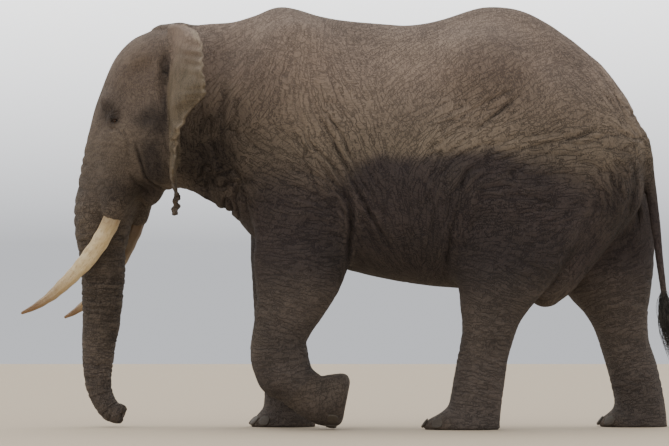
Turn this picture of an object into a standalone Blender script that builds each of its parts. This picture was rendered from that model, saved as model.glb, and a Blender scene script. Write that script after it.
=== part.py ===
"""African bush elephant, an old bull walking, as a life-size still model. Blender 4.5, metres, +Z up.

The bull faces -X and its left side is -Y. The origin is on the floor, under the middle of its box.
The flesh is one smooth form, made the way a sculptor builds up clay: lofts with named stations, limbs
with named joints, and masses of muscle and bone, each blended into what is there already. A grid turns
the form into a mesh, and thin cuts part the mesh into the body's parts.
"""

import math

import bmesh
import bpy
import numpy as np
from mathutils import Matrix, Vector

# ---------------------------------------------------------------- driving sizes
GRID = 0.028           # spacing of the grid that meshes the flesh
FLESH_TRIANGLES = 2800  # what the flesh is thinned to before it is parted
GAP = 0.0004           # clearance where two parts meet
FLOOR = 0.0            # the soles' level
FORM_BOTTOM = -0.03    # the form goes a little lower, and the floor then cuts the soles flat
WELD = 1e-5            # points of a cut closer than this are one
SEEK = 0.6             # how far from a foot's middle the search for its skin starts
SEEK_STEPS = 401       # and how many places it tries over one metre
FAR = 1.0              # the field's value away from every shape
CENTRING = (0.008, 0.132, 0.0)   # brings the middle of the box over the origin
BOX_LOW = (-2.5, -1.1, -0.1)
BOX_HIGH = (2.7, 1.1, 3.5)

HEAD_PIVOT = (-1.10, 0.0)   # where the neck turns, seen from above
HEAD_TURN = math.radians(21)  # the head is turned towards the bull's right

# Barrel and neck stations along x: x, back, belly, half-width, level of the widest part, middle y
BARREL = (
    (-1.48, 3.08, 2.03, 0.216, 2.50, 0.10),
    (-1.30, 3.15, 1.905, 0.299, 2.48, 0.06),
    (-1.10, 3.175, 1.775, 0.343, 2.44, 0.02),
    (-0.92, 3.19, 1.68, 0.382, 2.36, 0.0),
    (-0.76, 3.235, 1.50, 0.421, 2.26, 0.0),
    (-0.54, 3.305, 1.37, 0.475, 2.13, 0.0),
    (-0.25, 3.235, 1.29, 0.544, 2.05, 0.0),
    (0.10, 3.185, 1.21, 0.598, 1.98, 0.0),
    (0.42, 3.16, 1.145, 0.637, 1.95, 0.0),
    (0.70, 3.205, 1.11, 0.652, 1.95, 0.0),
    (1.05, 3.305, 1.09, 0.627, 1.98, 0.0),
    (1.38, 3.265, 1.10, 0.568, 2.02, 0.0),
    (1.74, 3.045, 1.26, 0.48, 2.08, 0.0),
    (2.04, 2.77, 1.52, 0.372, 2.10, 0.0),
    (2.22, 2.50, 1.72, 0.255, 2.10, 0.0),
    (2.32, 2.22, 1.92, 0.088, 2.06, 0.0),
)
# Head stations down from the crown, in the head's own frame: z, front, back, half-width, widest, middle
HEAD = (
    (3.125, 0.48, 0.26, 0.11, 0.37, 0.0),
    (3.06, 0.645, 0.10, 0.23, 0.38, 0.0),
    (2.95, 0.765, 0.02, 0.30, 0.40, 0.0),
    (2.80, 0.86, 0.0, 0.34, 0.42, 0.0),
    (2.60, 0.95, 0.0, 0.345, 0.46, 0.0),
    (2.42, 1.005, 0.02, 0.34, 0.52, 0.0),
    (2.20, 1.06, 0.12, 0.315, 0.62, 0.0),
    (2.00, 1.105, 0.34, 0.28, 0.74, 0.0),
    (1.80, 1.135, 0.60, 0.25, 0.86, 0.0),
    (1.62, 1.135, 0.69, 0.22, 0.91, 0.0),
    (1.46, 1.11, 0.74, 0.185, 0.92, 0.0),
)
BACK_ROUND = 1.68    # under 2 a section is pitched like a roof
BELLY_ROUND = 2.15   # over 2 a section is full

# Limbs: joints of x, y, z, radius seen from the side, radius seen from the front, from the top down
FORE_LEFT = (
    (-0.46, -0.30, 2.30, 0.34, 0.20),
    (-0.40, -0.35, 1.90, 0.36, 0.205),
    (-0.37, -0.355, 1.50, 0.365, 0.195),
    (-0.39, -0.365, 1.28, 0.355, 0.195),
    (-0.445, -0.375, 1.04, 0.285, 0.19),
    (-0.51, -0.38, 0.85, 0.232, 0.185),
    (-0.55, -0.385, 0.70, 0.212, 0.18),
    (-0.547, -0.385, 0.56, 0.225, 0.19),
    (-0.532, -0.385, 0.46, 0.213, 0.185),
)
FORE_LEFT_FOOT = (
    (-0.50, -0.385, 0.42, 0.185, 0.18),
    (-0.37, -0.38, 0.31, 0.170, 0.17),
    (-0.25, -0.375, 0.228, 0.180, 0.18),
    (-0.15, -0.37, 0.222, 0.200, 0.205),
    (-0.03, -0.365, 0.222, 0.212, 0.218),
)
LIFTED_SOLE = (-0.032, -0.365, 0.222)          # the middle of the lifted foot's sole
LIFTED_SOLE_FACES = (0.985, 0.0, -0.174)       # and the way it faces
FORE_RIGHT = (
    (-0.46, 0.30, 2.30, 0.34, 0.20),
    (-0.42, 0.34, 1.90, 0.36, 0.205),
    (-0.42, 0.35, 1.50, 0.365, 0.195),
    (-0.45, 0.36, 1.20, 0.325, 0.19),
    (-0.52, 0.375, 0.90, 0.24, 0.185),
    (-0.555, 0.36, 0.68, 0.205, 0.18),
    (-0.56, 0.355, 0.50, 0.205, 0.19),
    (-0.515, 0.35, 0.34, 0.172, 0.175),
    (-0.510, 0.35, 0.20, 0.168, 0.175),
    (-0.515, 0.35, 0.09, 0.180, 0.19),
    (-0.525, 0.35, 0.03, 0.195, 0.20),
    (-0.525, 0.35, 0.0, 0.195, 0.20),
)
HIND_LEFT = (
    (1.42, -0.24, 2.35, 0.46, 0.27),
    (1.40, -0.31, 1.90, 0.47, 0.26),
    (1.32, -0.35, 1.58, 0.45, 0.245),
    (1.19, -0.375, 1.25, 0.355, 0.22),
    (1.115, -0.38, 1.00, 0.26, 0.20),
    (1.075, -0.38, 0.78, 0.205, 0.185),
    (1.035, -0.375, 0.58, 0.19, 0.17),
    (1.01, -0.37, 0.42, 0.195, 0.175),
    (0.985, -0.365, 0.26, 0.198, 0.180),
    (0.965, -0.36, 0.13, 0.205, 0.19),
    (0.950, -0.36, 0.05, 0.215, 0.20),
    (0.950, -0.36, 0.0, 0.215, 0.20),
)
HIND_RIGHT = (
    (1.66, 0.24, 2.30, 0.46, 0.27),
    (1.89, 0.31, 1.80, 0.495, 0.255),
    (1.99, 0.345, 1.40, 0.425, 0.23),
    (2.085, 0.365, 1.10, 0.300, 0.21),
    (2.14, 0.37, 0.86, 0.220, 0.19),
    (2.185, 0.36, 0.64, 0.19, 0.17),
    (2.245, 0.355, 0.44, 0.192, 0.175),
    (2.285, 0.35, 0.26, 0.192, 0.180),
    (2.300, 0.345, 0.12, 0.200, 0.19),
    (2.300, 0.345, 0.05, 0.210, 0.20),
    (2.300, 0.345, 0.0, 0.210, 0.20),
)
# low masses of a planted foot: the toes in front, the cushion behind
FOOT_PADS = (
    ((-0.605, 0.35, 0.01), (0.185, 0.185, 0.075)), ((-0.445, 0.35, 0.02), (0.165, 0.175, 0.10)),
    ((0.815, -0.36, 0.02), (0.245, 0.19, 0.11)), ((2.175, 0.345, 0.02), (0.205, 0.185, 0.10)),
)
CROTCH_FOLD = (
    (2.05, -0.06, 1.85, 0.24, 0.22),
    (1.83, -0.08, 1.52, 0.22, 0.20),
    (1.62, -0.09, 1.24, 0.20, 0.18),
    (1.53, -0.09, 1.10, 0.15, 0.15),
)
# The trunk, in the head's own frame, curled back at its tip
TRUNK = (
    (0.915, 0.0, 1.70, 0.205, 0.22),
    (0.925, 0.0, 1.52, 0.19, 0.195),
    (0.92, 0.0, 1.34, 0.178, 0.18),
    (0.915, 0.0, 1.16, 0.170, 0.17),
    (0.92, 0.0, 0.98, 0.160, 0.16),
    (0.935, 0.0, 0.78, 0.142, 0.143),
    (0.955, 0.0, 0.58, 0.124, 0.125),
    (0.96, 0.0, 0.42, 0.110, 0.112),
    (0.945, 0.0, 0.30, 0.098, 0.102),
    (0.905, 0.0, 0.20, 0.090, 0.096),
    (0.85, 0.0, 0.132, 0.084, 0.092),
    (0.80, 0.0, 0.108, 0.080, 0.088),
)
TUSK_SHEATH = (
    (0.62, -0.19, 2.20, 0.19, 0.15),
    (0.665, -0.215, 1.98, 0.15, 0.13),
    (0.70, -0.225, 1.80, 0.112, 0.108),
    (0.715, -0.228, 1.745, 0.095, 0.095),
)
LOWER_JAW = (
    (0.26, 0.0, 2.17, 0.20, 0.25),
    (0.38, 0.0, 2.07, 0.155, 0.20),
    (0.485, 0.0, 1.94, 0.105, 0.13),
    (0.510, 0.0, 1.84, 0.088, 0.085),
    (0.525, 0.0, 1.79, 0.055, 0.05),
)


# ---------------------------------------------------------------- the form's tools
def head_to_world(place):
    """A point in the head's own frame (u forward, v to the bull's right, z up) in world axes."""
    u, v, z = place
    c, s = math.cos(HEAD_TURN), math.sin(HEAD_TURN)
    return Vector((HEAD_PIVOT[0] - u * c + v * s, HEAD_PIVOT[1] + u * s + v * c, z))


def world_to_head(points):
    c, s = math.cos(HEAD_TURN), math.sin(HEAD_TURN)
    x = points[:, 0] - HEAD_PIVOT[0]
    y = points[:, 1] - HEAD_PIVOT[1]
    return np.stack([y * s - x * c, y * c + x * s, points[:, 2]], axis=1)


def folded(points):
    """The same points with the second coordinate folded to its negative side."""
    one_side = points.copy()
    one_side[:, 1] = -np.abs(one_side[:, 1])
    return one_side


def smooth_min(a, b, width):
    share = np.clip(0.5 + 0.5 * (b - a) / width, 0.0, 1.0)
    return b + (a - b) * share - width * share * (1.0 - share)


def add(field, points, shape, width):
    """Blends a shape into the field, over a width in metres."""
    distance, inside = shape(points, width)
    field[inside] = smooth_min(field[inside], distance, width)


def carve(field, points, shape, width):
    """Takes a shape out of the field, with a rim rounded over the width."""
    distance, inside = shape(points, width)
    field[inside] = -smooth_min(-field[inside], distance, width)


def near(points, low, high, margin):
    reach = margin + 3.0 * GRID
    return np.all((points > np.asarray(low) - reach) & (points < np.asarray(high) + reach), axis=1)


def mass(centre, radii, pitch=0.0, yaw=0.0):
    """An ellipsoid of muscle or bone. Pitch turns it in the side view, yaw seen from above."""
    axes = np.array(Matrix.Rotation(yaw, 3, "Z") @ Matrix.Rotation(pitch, 3, "Y"))
    centre, radii = np.asarray(centre, float), np.asarray(radii, float)
    half = np.abs(axes) @ radii

    def shape(points, width):
        inside = near(points, centre - half, centre + half, width)
        local = (points[inside] - centre) @ axes
        k0 = np.linalg.norm(local / radii, axis=1)
        k1 = np.linalg.norm(local / radii**2, axis=1) + 1e-9
        return k0 * (k0 - 1.0) / k1, inside

    return shape


def smooth_row(rows, per_span=4):
    """Catmull-Rom points through rows of numbers, per_span to a span."""
    rows = np.asarray(rows, float)
    ends = np.vstack([2 * rows[0] - rows[1], rows, 2 * rows[-1] - rows[-2]])
    made = []
    for i in range(len(rows) - 1):
        a, b, c, d = ends[i : i + 4]
        for t in np.arange(per_span) / per_span:
            bend = (2 * a - 5 * b + 4 * c - d) * t**2 + (3 * b - a - 3 * c + d) * t**3
            made.append(0.5 * (2 * b + (c - a) * t + bend))
    return np.array([*made, rows[-1]])


def limb(joints, per_span=4):
    """A limb through joints of x, y, z, radius seen from the side, radius seen from the front."""
    rows = smooth_row(joints, per_span)
    places, radii = rows[:, :3], rows[:, 3:]

    def shape(points, width):
        reach = radii.max()
        inside = near(points, places.min(0) - reach, places.max(0) + reach, width)
        local = points[inside]
        best = np.full(len(local), FAR)
        for a, b, ra, rb in zip(places, places[1:], radii, radii[1:]):
            along = b - a
            t = np.clip((local - a) @ along / (along @ along), 0.0, 1.0)[:, None]
            off = local - (a + t * along)
            side = off[:, 1]
            fore = np.sqrt(np.maximum((off * off).sum(1) - side**2, 0.0))
            radius = ra + t * (rb - ra)
            k0 = np.hypot(fore / radius[:, 0], side / radius[:, 1])
            k1 = np.hypot(fore / radius[:, 0] ** 2, side / radius[:, 1] ** 2) + 1e-9
            best = np.minimum(best, k0 * (k0 - 1.0) / k1)
        return best, inside

    return shape


def loft(stations, along, rise):
    """A body lofted through stations of place, top, bottom, half-width, widest level and middle.

    The stations follow one another along one axis. Their tops and bottoms are measured on the rise axis.
    """
    rows = smooth_row(stations, 8)
    rows = rows[np.argsort(rows[:, 0])]
    low, high = np.zeros(3), np.zeros(3)
    low[along], high[along] = rows[0, 0], rows[-1, 0]
    low[rise], high[rise] = rows[:, 2].min(), rows[:, 1].max()
    low[1], high[1] = -rows[:, 3].max(), rows[:, 3].max()

    def shape(points, width):
        inside = near(points, low, high, width)
        local = points[inside]
        place = np.clip(local[:, along], rows[0, 0], rows[-1, 0])
        top, bottom, half, level, middle = (np.interp(place, rows[:, 0], rows[:, k]) for k in range(1, 6))
        above = local[:, rise] > level
        height = np.where(above, top - level, level - bottom)
        power = np.where(above, BACK_ROUND, BELLY_ROUND)
        a = np.abs(local[:, 1] - middle) / half
        b = np.abs(local[:, rise] - level) / height
        ring = (a**power + b**power + 1e-12) ** (1.0 / power)
        across = (ring - 1.0) * np.minimum(half, height)
        beyond = np.abs(local[:, along] - place)
        return np.where(beyond > 0, np.hypot(np.maximum(across, 0.0), beyond), across), inside

    return shape


def half_space(place, faces):
    """Everything on the far side of a plane, as a shape to carve away."""
    place, faces = np.asarray(place, float), np.asarray(faces, float)

    def shape(points, width):
        return (place - points) @ faces, np.full(len(points), True)

    return shape


# ---------------------------------------------------------------- the form
def torso_form(field, points):
    both = folded(points)
    add(field, points, loft(BARREL, 0, 2), 0.05)
    add(field, both, mass((-0.50, -0.29, 2.50), (0.30, 0.20, 0.62), pitch=0.15), 0.30)
    add(field, both, mass((1.06, -0.31, 2.78), (0.30, 0.22, 0.26)), 0.24)
    add(field, points, limb(CROTCH_FOLD), 0.08)


def legs_form(field, points):
    add(field, points, limb(FORE_LEFT), 0.12)
    lifted = np.full(len(points), FAR)
    add(lifted, points, limb(FORE_LEFT_FOOT), 0.01)
    carve(lifted, points, half_space(LIFTED_SOLE, LIFTED_SOLE_FACES), 0.03)
    field[:] = smooth_min(field, lifted, 0.05)
    add(field, points, limb(FORE_RIGHT), 0.12)
    add(field, points, limb(HIND_LEFT), 0.12)
    add(field, points, limb(HIND_RIGHT), 0.14)
    for place, radii in FOOT_PADS:
        add(field, points, mass(place, radii), 0.10)


def head_form(field, points):
    local = world_to_head(points)
    both = folded(local)
    skull = np.full(len(points), FAR)
    add(skull, local, loft(HEAD, 2, 0), 0.02)
    add(skull, both, mass((0.34, -0.21, 2.22), (0.28, 0.14, 0.30)), 0.14)
    add(skull, both, mass((0.68, -0.225, 2.53), (0.15, 0.08, 0.055), pitch=-0.4), 0.10)
    add(skull, both, mass((0.24, -0.20, 2.86), (0.22, 0.13, 0.22)), 0.14)
    add(skull, both, limb(TUSK_SHEATH), 0.10)
    carve(skull, both, mass((0.50, -0.44, 2.68), (0.20, 0.12, 0.22)), 0.14)
    add(skull, local, limb(LOWER_JAW), 0.06)
    add(skull, local, limb(TRUNK), 0.07)
    field[:] = smooth_min(field, skull, 0.16)


def flesh(points):
    """The whole body's field: negative inside, about the distance in metres near the skin."""
    field = np.full(len(points), FAR)
    torso_form(field, points)
    legs_form(field, points)
    head_form(field, points)
    return np.maximum(field, FORM_BOTTOM - points[:, 2])


# ---------------------------------------------------------------- from form to mesh
def sample(field, low, high, step):
    """The field's values on a grid over a box."""
    counts = [int(math.ceil((b - a) / step)) + 1 for a, b in zip(low, high)]
    axes = [a + step * np.arange(n) for a, n in zip(low, counts)]
    values = np.empty(counts)
    for i, x in enumerate(axes[0]):
        y, z = np.meshgrid(axes[1], axes[2], indexing="ij")
        points = np.stack([np.full(y.size, x), y.ravel(), z.ravel()], axis=1)
        values[i] = field(points).reshape(y.shape)
    return values


def net(values, low, step):
    """Surface nets: one point in each grid cell the skin runs through, one quad for each edge it cuts."""
    shape = np.array(values.shape)
    stride = np.array([shape[1] * shape[2], shape[2], 1])
    total = np.zeros((values.size, 3))
    count = np.zeros(values.size)
    rings = []
    for axis in range(3):
        first = np.take(values, range(shape[axis] - 1), axis)
        second = np.take(values, range(1, shape[axis]), axis)
        cut = np.argwhere((first < 0) != (second < 0))
        a, b = first[tuple(cut.T)], second[tuple(cut.T)]
        place = cut.astype(float)
        place[:, axis] += a / (a - b)
        j, k = stride[(axis + 1) % 3], stride[(axis + 2) % 3]
        cell = cut @ stride
        ring = np.stack([cell, cell - j, cell - j - k, cell - k], axis=1)
        for around in ring.T:
            count += np.bincount(around, minlength=values.size)
            for c in range(3):
                total[:, c] += np.bincount(around, place[:, c], values.size)
        ring[a < 0] = ring[a < 0, ::-1]
        rings.append(ring)
    used = np.flatnonzero(count)
    number = np.full(values.size, -1)
    number[used] = np.arange(len(used))
    places = total[used] / count[used, None] * step + np.asarray(low)
    return places, number[np.concatenate(rings)]


def on_surface(field, start, heading):
    """Where a line from outside first meets the skin."""
    start, heading = Vector(start), Vector(heading).normalized()
    steps = np.linspace(0.0, 1.0, SEEK_STEPS)
    line = np.array([start + heading * t for t in steps])
    first = int(np.argmax(field(line) < 0.0))
    return start + heading * float(steps[first])


# ---------------------------------------------------------------- mesh tools
def new_object(name, points, faces, finish):
    mesh = bpy.data.meshes.new(name)
    mesh.from_pydata([tuple(map(float, p)) for p in points], [], [tuple(map(int, f)) for f in faces])
    work = bmesh.new()
    work.from_mesh(mesh)
    bmesh.ops.recalc_face_normals(work, faces=work.faces)
    work.to_mesh(mesh)
    work.free()
    made = bpy.data.objects.new(name, mesh)
    bpy.context.scene.collection.objects.link(made)
    mesh.materials.append(finish)
    return made


def freeze(body):
    """Replaces a body's mesh by what its modifiers make of it."""
    bpy.context.view_layer.update()
    seen = body.evaluated_get(bpy.context.evaluated_depsgraph_get())
    made = bpy.data.meshes.new_from_object(seen)
    body.modifiers.clear()
    body.data = made


def thin_out(body, triangles):
    """Collapses edges, flattest places first, until about this many triangles are left."""
    rule = body.modifiers.new("thin", "DECIMATE")
    rule.ratio = triangles / sum(len(face.vertices) - 2 for face in body.data.polygons)
    freeze(body)


def cut_away(body, cutter):
    """Takes the cutter's room out of a body, then drops the cutter."""
    rule = body.modifiers.new("cut", "BOOLEAN")
    rule.operation = "DIFFERENCE"
    rule.solver = "EXACT"
    rule.object = cutter
    freeze(body)
    bpy.data.objects.remove(cutter)


def swollen(body, amount):
    """A copy of a body with its skin moved outwards."""
    made = body.copy()
    made.data = body.data.copy()
    bpy.context.scene.collection.objects.link(made)
    normals = [vertex.normal.copy() for vertex in made.data.vertices]
    for vertex, normal in zip(made.data.vertices, normals):
        vertex.co += normal * amount
    return made


def half_of(whole, place, faces):
    """The half of a closed bmesh that the normal points to, closed again and a hair short of the cut."""
    made = whole.copy()
    faces = Vector(faces).normalized()
    bmesh.ops.bisect_plane(
        made,
        geom=[*made.verts, *made.edges, *made.faces],
        dist=WELD,
        plane_co=Vector(place) + faces * GAP / 2,
        plane_no=faces,
        clear_inner=True,
    )
    rims = [edge for edge in made.edges if edge.is_boundary]
    if rims:
        bmesh.ops.holes_fill(made, edges=rims)
    bmesh.ops.triangulate(made, faces=[face for face in made.faces if len(face.verts) > 3])
    bmesh.ops.remove_doubles(made, verts=made.verts, dist=WELD)
    bmesh.ops.dissolve_degenerate(made, edges=made.edges, dist=WELD)
    bmesh.ops.triangulate(made, faces=[face for face in made.faces if len(face.verts) > 3])
    loose = [point for point in made.verts if not point.link_faces]
    bmesh.ops.delete(made, geom=loose, context="VERTS")
    return made


def tube(name, joints, sides, finish, extra=0.0):
    """A closed tube through joints of x, y, z, radius seen from the side, radius across."""
    rows = np.asarray(joints, float)
    points, faces = [], []
    for i, row in enumerate(rows):
        ahead = rows[min(i + 1, len(rows) - 1)] - rows[max(i - 1, 0)]
        heading = Vector(ahead[:3]).normalized()
        across = Vector((0.0, 1.0, 0.0))
        across = (across - heading * across.dot(heading)).normalized()
        up = heading.cross(across)
        for k in range(sides):
            turn = 2 * math.pi * k / sides
            offset = up * (math.cos(turn) * (row[3] + extra)) + across * (math.sin(turn) * (row[4] + extra))
            points.append(Vector(row[:3]) + offset)
    for i in range(len(rows) - 1):
        for k in range(sides):
            a, b = i * sides + k, i * sides + (k + 1) % sides
            faces += [(a, b, b + sides), (a, b + sides, a + sides)]
    for i, way in ((0, -1.0), (len(rows) - 1, 1.0)):
        j = 1 if i == 0 else i - 1
        heading = (Vector(rows[i][:3]) - Vector(rows[j][:3])).normalized()
        points.append(Vector(rows[i][:3]) + heading * (0.5 * rows[i][3] + extra))
        for k in range(sides):
            faces.append((i * sides + k, i * sides + (k + 1) % sides, len(points) - 1))
    return new_object(name, points, faces, finish)


def ball(name, centre, radii, turn, finish, rings, sides):
    """A closed ellipsoid with its pole along its own z."""
    points, faces = [], []
    for i in range(1, rings):
        polar = math.pi * i / rings
        for k in range(sides):
            around = 2 * math.pi * k / sides
            local = (
                radii[0] * math.sin(polar) * math.cos(around),
                radii[1] * math.sin(polar) * math.sin(around),
                radii[2] * math.cos(polar),
            )
            points.append(Vector(centre) + turn @ Vector(local))
    for i in range(rings - 2):
        for k in range(sides):
            a, b = i * sides + k, i * sides + (k + 1) % sides
            faces += [(a, b, b + sides), (a, b + sides, a + sides)]
    for i, pole in ((0, 1.0), (rings - 2, -1.0)):
        points.append(Vector(centre) + turn @ Vector((0.0, 0.0, radii[2] * pole)))
        for k in range(sides):
            faces.append((i * sides + k, i * sides + (k + 1) % sides, len(points) - 1))
    return new_object(name, points, faces, finish)


def material(name, colour, roughness):
    made = bpy.data.materials.new(name)
    made.use_nodes = True
    shader = made.node_tree.nodes["Principled BSDF"]
    shader.inputs["Base Color"].default_value = (*colour, 1.0)
    shader.inputs["Roughness"].default_value = roughness
    return made


# ---------------------------------------------------------------- ears, tusks, nails and tail
# Ear rows from the top down, in the head's own frame: z, root u, root v, width, opening in degrees
EAR = (
    (3.130, 0.225, -0.24, 0.36, 47),
    (3.085, 0.205, -0.25, 0.70, 48),
    (3.00, 0.19, -0.26, 0.93, 50),
    (2.85, 0.175, -0.275, 1.07, 52),
    (2.68, 0.165, -0.285, 1.10, 53),
    (2.54, 0.158, -0.29, 1.08, 54),
    (2.36, 0.145, -0.295, 1.00, 59),
    (2.15, 0.12, -0.305, 0.83, 61),
    (2.00, 0.11, -0.335, 0.62, 62),
    (1.88, 0.10, -0.365, 0.36, 62),
    (1.80, 0.095, -0.39, 0.14, 62),
)
TORN_TIP = ((1.70, 0.13, -0.41, 0.05, 62),)    # a torn strip hangs below the left ear
# The left ear is torn away below the middle of its rim, down to a strip that hangs
EAR_LEFT = EAR[:1] + (
    (3.085, 0.205, -0.25, 0.60, 48),
    (3.00, 0.19, -0.26, 0.74, 50),
    (2.85, 0.18, -0.275, 0.89, 52),
    (2.68, 0.195, -0.285, 1.07, 53),
    (2.57, 0.200, -0.29, 1.07, 53.5),
    (2.52, 0.198, -0.29, 0.90, 55),
    (2.46, 0.192, -0.29, 0.74, 57),
    (2.36, 0.182, -0.295, 0.60, 60),
    (2.25, 0.172, -0.30, 0.45, 64),
    (2.14, 0.162, -0.31, 0.40, 66),
    (2.03, 0.170, -0.335, 0.42, 63.5),
    (1.95, 0.160, -0.355, 0.33, 63),
    (1.88, 0.142, -0.37, 0.20, 62),
    (1.80, 0.132, -0.39, 0.12, 62),
)
EAR_BEND = 24          # degrees the ear swings back between its root and its rim
EAR_ROOT_THICK = 0.05
EAR_RIM_THICK = 0.018
EAR_COLUMNS = 7
TUSK = (
    (0.67, -0.216, 1.90, 0.066, 0.066),
    (0.727, -0.228, 1.68, 0.070, 0.070),
    (0.795, -0.245, 1.527, 0.068, 0.068),
    (0.892, -0.272, 1.37, 0.064, 0.064),
    (0.99, -0.303, 1.248, 0.058, 0.058),
    (1.09, -0.335, 1.14, 0.050, 0.050),
    (1.20, -0.365, 1.035, 0.039, 0.039),
    (1.325, -0.397, 0.95, 0.026, 0.026),
    (1.43, -0.417, 0.90, 0.012, 0.012),
)
TUSK_SIDES = 10
TAIL_SIDES = 8
EYE_RINGS, EYE_SIDES = 6, 8
NAIL_RINGS, NAIL_SIDES = 4, 6
TUSK_DROOP = {"left": 0.0, "right": 0.04}        # the right tusk hangs a little lower
TAIL = (
    (2.17, 0.0, 2.36, 0.10, 0.11),
    (2.265, 0.0, 2.24, 0.085, 0.09),
    (2.325, 0.0, 2.06, 0.062, 0.065),
    (2.365, 0.0, 1.85, 0.045, 0.045),
    (2.405, 0.0, 1.55, 0.033, 0.032),
    (2.435, 0.0, 1.28, 0.028, 0.026),
    (2.465, 0.0, 1.05, 0.026, 0.022),
)
TAIL_TUFT = (
    (2.468, 0.0, 1.03, 0.030, 0.026),
    (2.475, 0.0, 0.97, 0.052, 0.030),
    (2.49, 0.0, 0.85, 0.070, 0.032),
    (2.515, 0.0, 0.68, 0.060, 0.028),
    (2.54, 0.0, 0.52, 0.030, 0.018),
    (2.55, 0.0, 0.46, 0.012, 0.010),
)
EYE = (0.675, -0.70, 2.411)      # a point outside the head, straight out from the left eye
EYE_RADIUS = 0.024
EYE_SINK = 0.55                 # how much of the radius lies under the skin
# Feet: name, middle of the sole, nail angles from straight ahead in degrees
NAILS = (
    ("fore_right", (-0.555, 0.35), (-56, -22, 12, 46)),
    ("hind_left", (0.86, -0.36), (-38, 0, 38)),
    ("hind_right", (2.22, 0.345), (-38, 0, 38)),
)
NAIL_HEIGHT = 0.050
LIFTED_NAIL_HEIGHT = 0.080
NAIL_SIZE = (0.018, 0.046, 0.042)     # thickness, half-width, half-height
LIFTED_NAILS = (-46, -12, 22, 56)


def ear_sheet(row):
    """Middle-line points of one ear row, from the root to the rim, and the ear's thickness at each."""
    z, u, v, width, opening = row
    shares = np.linspace(0.0, 1.0, EAR_COLUMNS)
    angles = np.radians(opening + EAR_BEND * (0.5 - shares))
    step = width / (EAR_COLUMNS - 1)
    du = np.concatenate([[0.0], np.cumsum(-np.cos(angles[:-1]) * step)])
    dv = np.concatenate([[0.0], np.cumsum(-np.sin(angles[:-1]) * step)])
    places = np.stack([u + du, v + dv, np.full(EAR_COLUMNS, z)], axis=1)
    thick = EAR_ROOT_THICK + (EAR_RIM_THICK - EAR_ROOT_THICK) * shares**0.6
    outward = np.stack([-np.sin(angles), np.cos(angles), np.zeros(EAR_COLUMNS)], axis=1)
    return places, outward * thick[:, None] / 2


def ear(name, side, finish):
    rows = EAR_LEFT + TORN_TIP if side < 0 else EAR
    count, columns = len(rows), EAR_COLUMNS
    front, back = [], []
    for row in rows:
        places, half = ear_sheet(row)
        front.append(places - half)
        back.append(places + half)
    points = np.concatenate([np.concatenate(front), np.concatenate(back)])
    points[:, 1] *= -side
    faces = []
    for i in range(count - 1):
        for k in range(columns - 1):
            a = i * columns + k
            for shift in (0, count * columns):
                faces += [(a + shift, a + 1 + shift, a + columns + 1 + shift)]
                faces += [(a + shift, a + columns + 1 + shift, a + columns + shift)]
    rim = [i * columns for i in range(count)]
    rim += [(count - 1) * columns + k for k in range(1, columns)]
    rim += [i * columns + columns - 1 for i in range(count - 2, -1, -1)]
    rim += [k for k in range(columns - 2, 0, -1)]
    for a, b in zip(rim, rim[1:] + rim[:1]):
        faces += [(a, b, b + count * columns), (a, b + count * columns, a + count * columns)]
    return new_object(name, [head_to_world(p) for p in points], faces, finish)


def tusk(name, side, finish, extra=0.0):
    droop = TUSK_DROOP["left" if side < 0 else "right"]
    joints = [(*head_to_world((u, -side * v, z - droop)), a, b) for u, v, z, a, b in TUSK]
    return tube(name, joints, TUSK_SIDES, finish, extra)


def eye_place(side):
    heading = head_to_world((0.0, side, 0.0)) - head_to_world((0.0, 0.0, 0.0))
    start = head_to_world((EYE[0], -side * EYE[1], EYE[2]))
    surface = on_surface(flesh, start, -heading)
    return surface - heading.normalized() * EYE_RADIUS * EYE_SINK


def way_out(place, step=0.01):
    """The way out of the flesh at a place on it."""
    steps = np.eye(3) * step
    rise = flesh(np.array(place) + steps) - flesh(np.array(place) - steps)
    return Vector(rise).normalized()


def facing(out, up):
    """Axes with the first one pointing out and the last one as near up as that allows."""
    side = up.cross(out).normalized()
    return Matrix((out, side, out.cross(side))).transposed()


def nails_of(foot, middle, angles):
    made = []
    for i, angle in enumerate(angles):
        turn = math.radians(angle)
        heading = Vector((-math.cos(turn), math.sin(turn), 0.0))
        start = Vector((*middle, NAIL_HEIGHT)) + heading * SEEK
        place = on_surface(flesh, start, -heading)
        made.append((f"toenail_{foot}_{i + 1}", place, facing(way_out(place), Vector((0.0, 0.0, 1.0)))))
    return made


def lifted_nails():
    made = []
    faces = Vector(LIFTED_SOLE_FACES)
    front = Vector((0.0, 1.0, 0.0)).cross(faces).normalized()
    front = front if front.z < 0 else -front
    across = Vector((0.0, 1.0, 0.0))
    for i, angle in enumerate(LIFTED_NAILS):
        turn = math.radians(angle)
        heading = front * math.cos(turn) + across * math.sin(turn)
        start = Vector(LIFTED_SOLE) - faces * LIFTED_NAIL_HEIGHT + heading * SEEK
        place = on_surface(flesh, start, -heading)
        made.append((f"toenail_fore_left_{i + 1}", place, facing(way_out(place), faces)))
    return made


# ---------------------------------------------------------------- the parts of the body
FRONT = tuple(head_to_world((1.0, 0.0, 0.0)) - head_to_world((0.0, 0.0, 0.0)))
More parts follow.
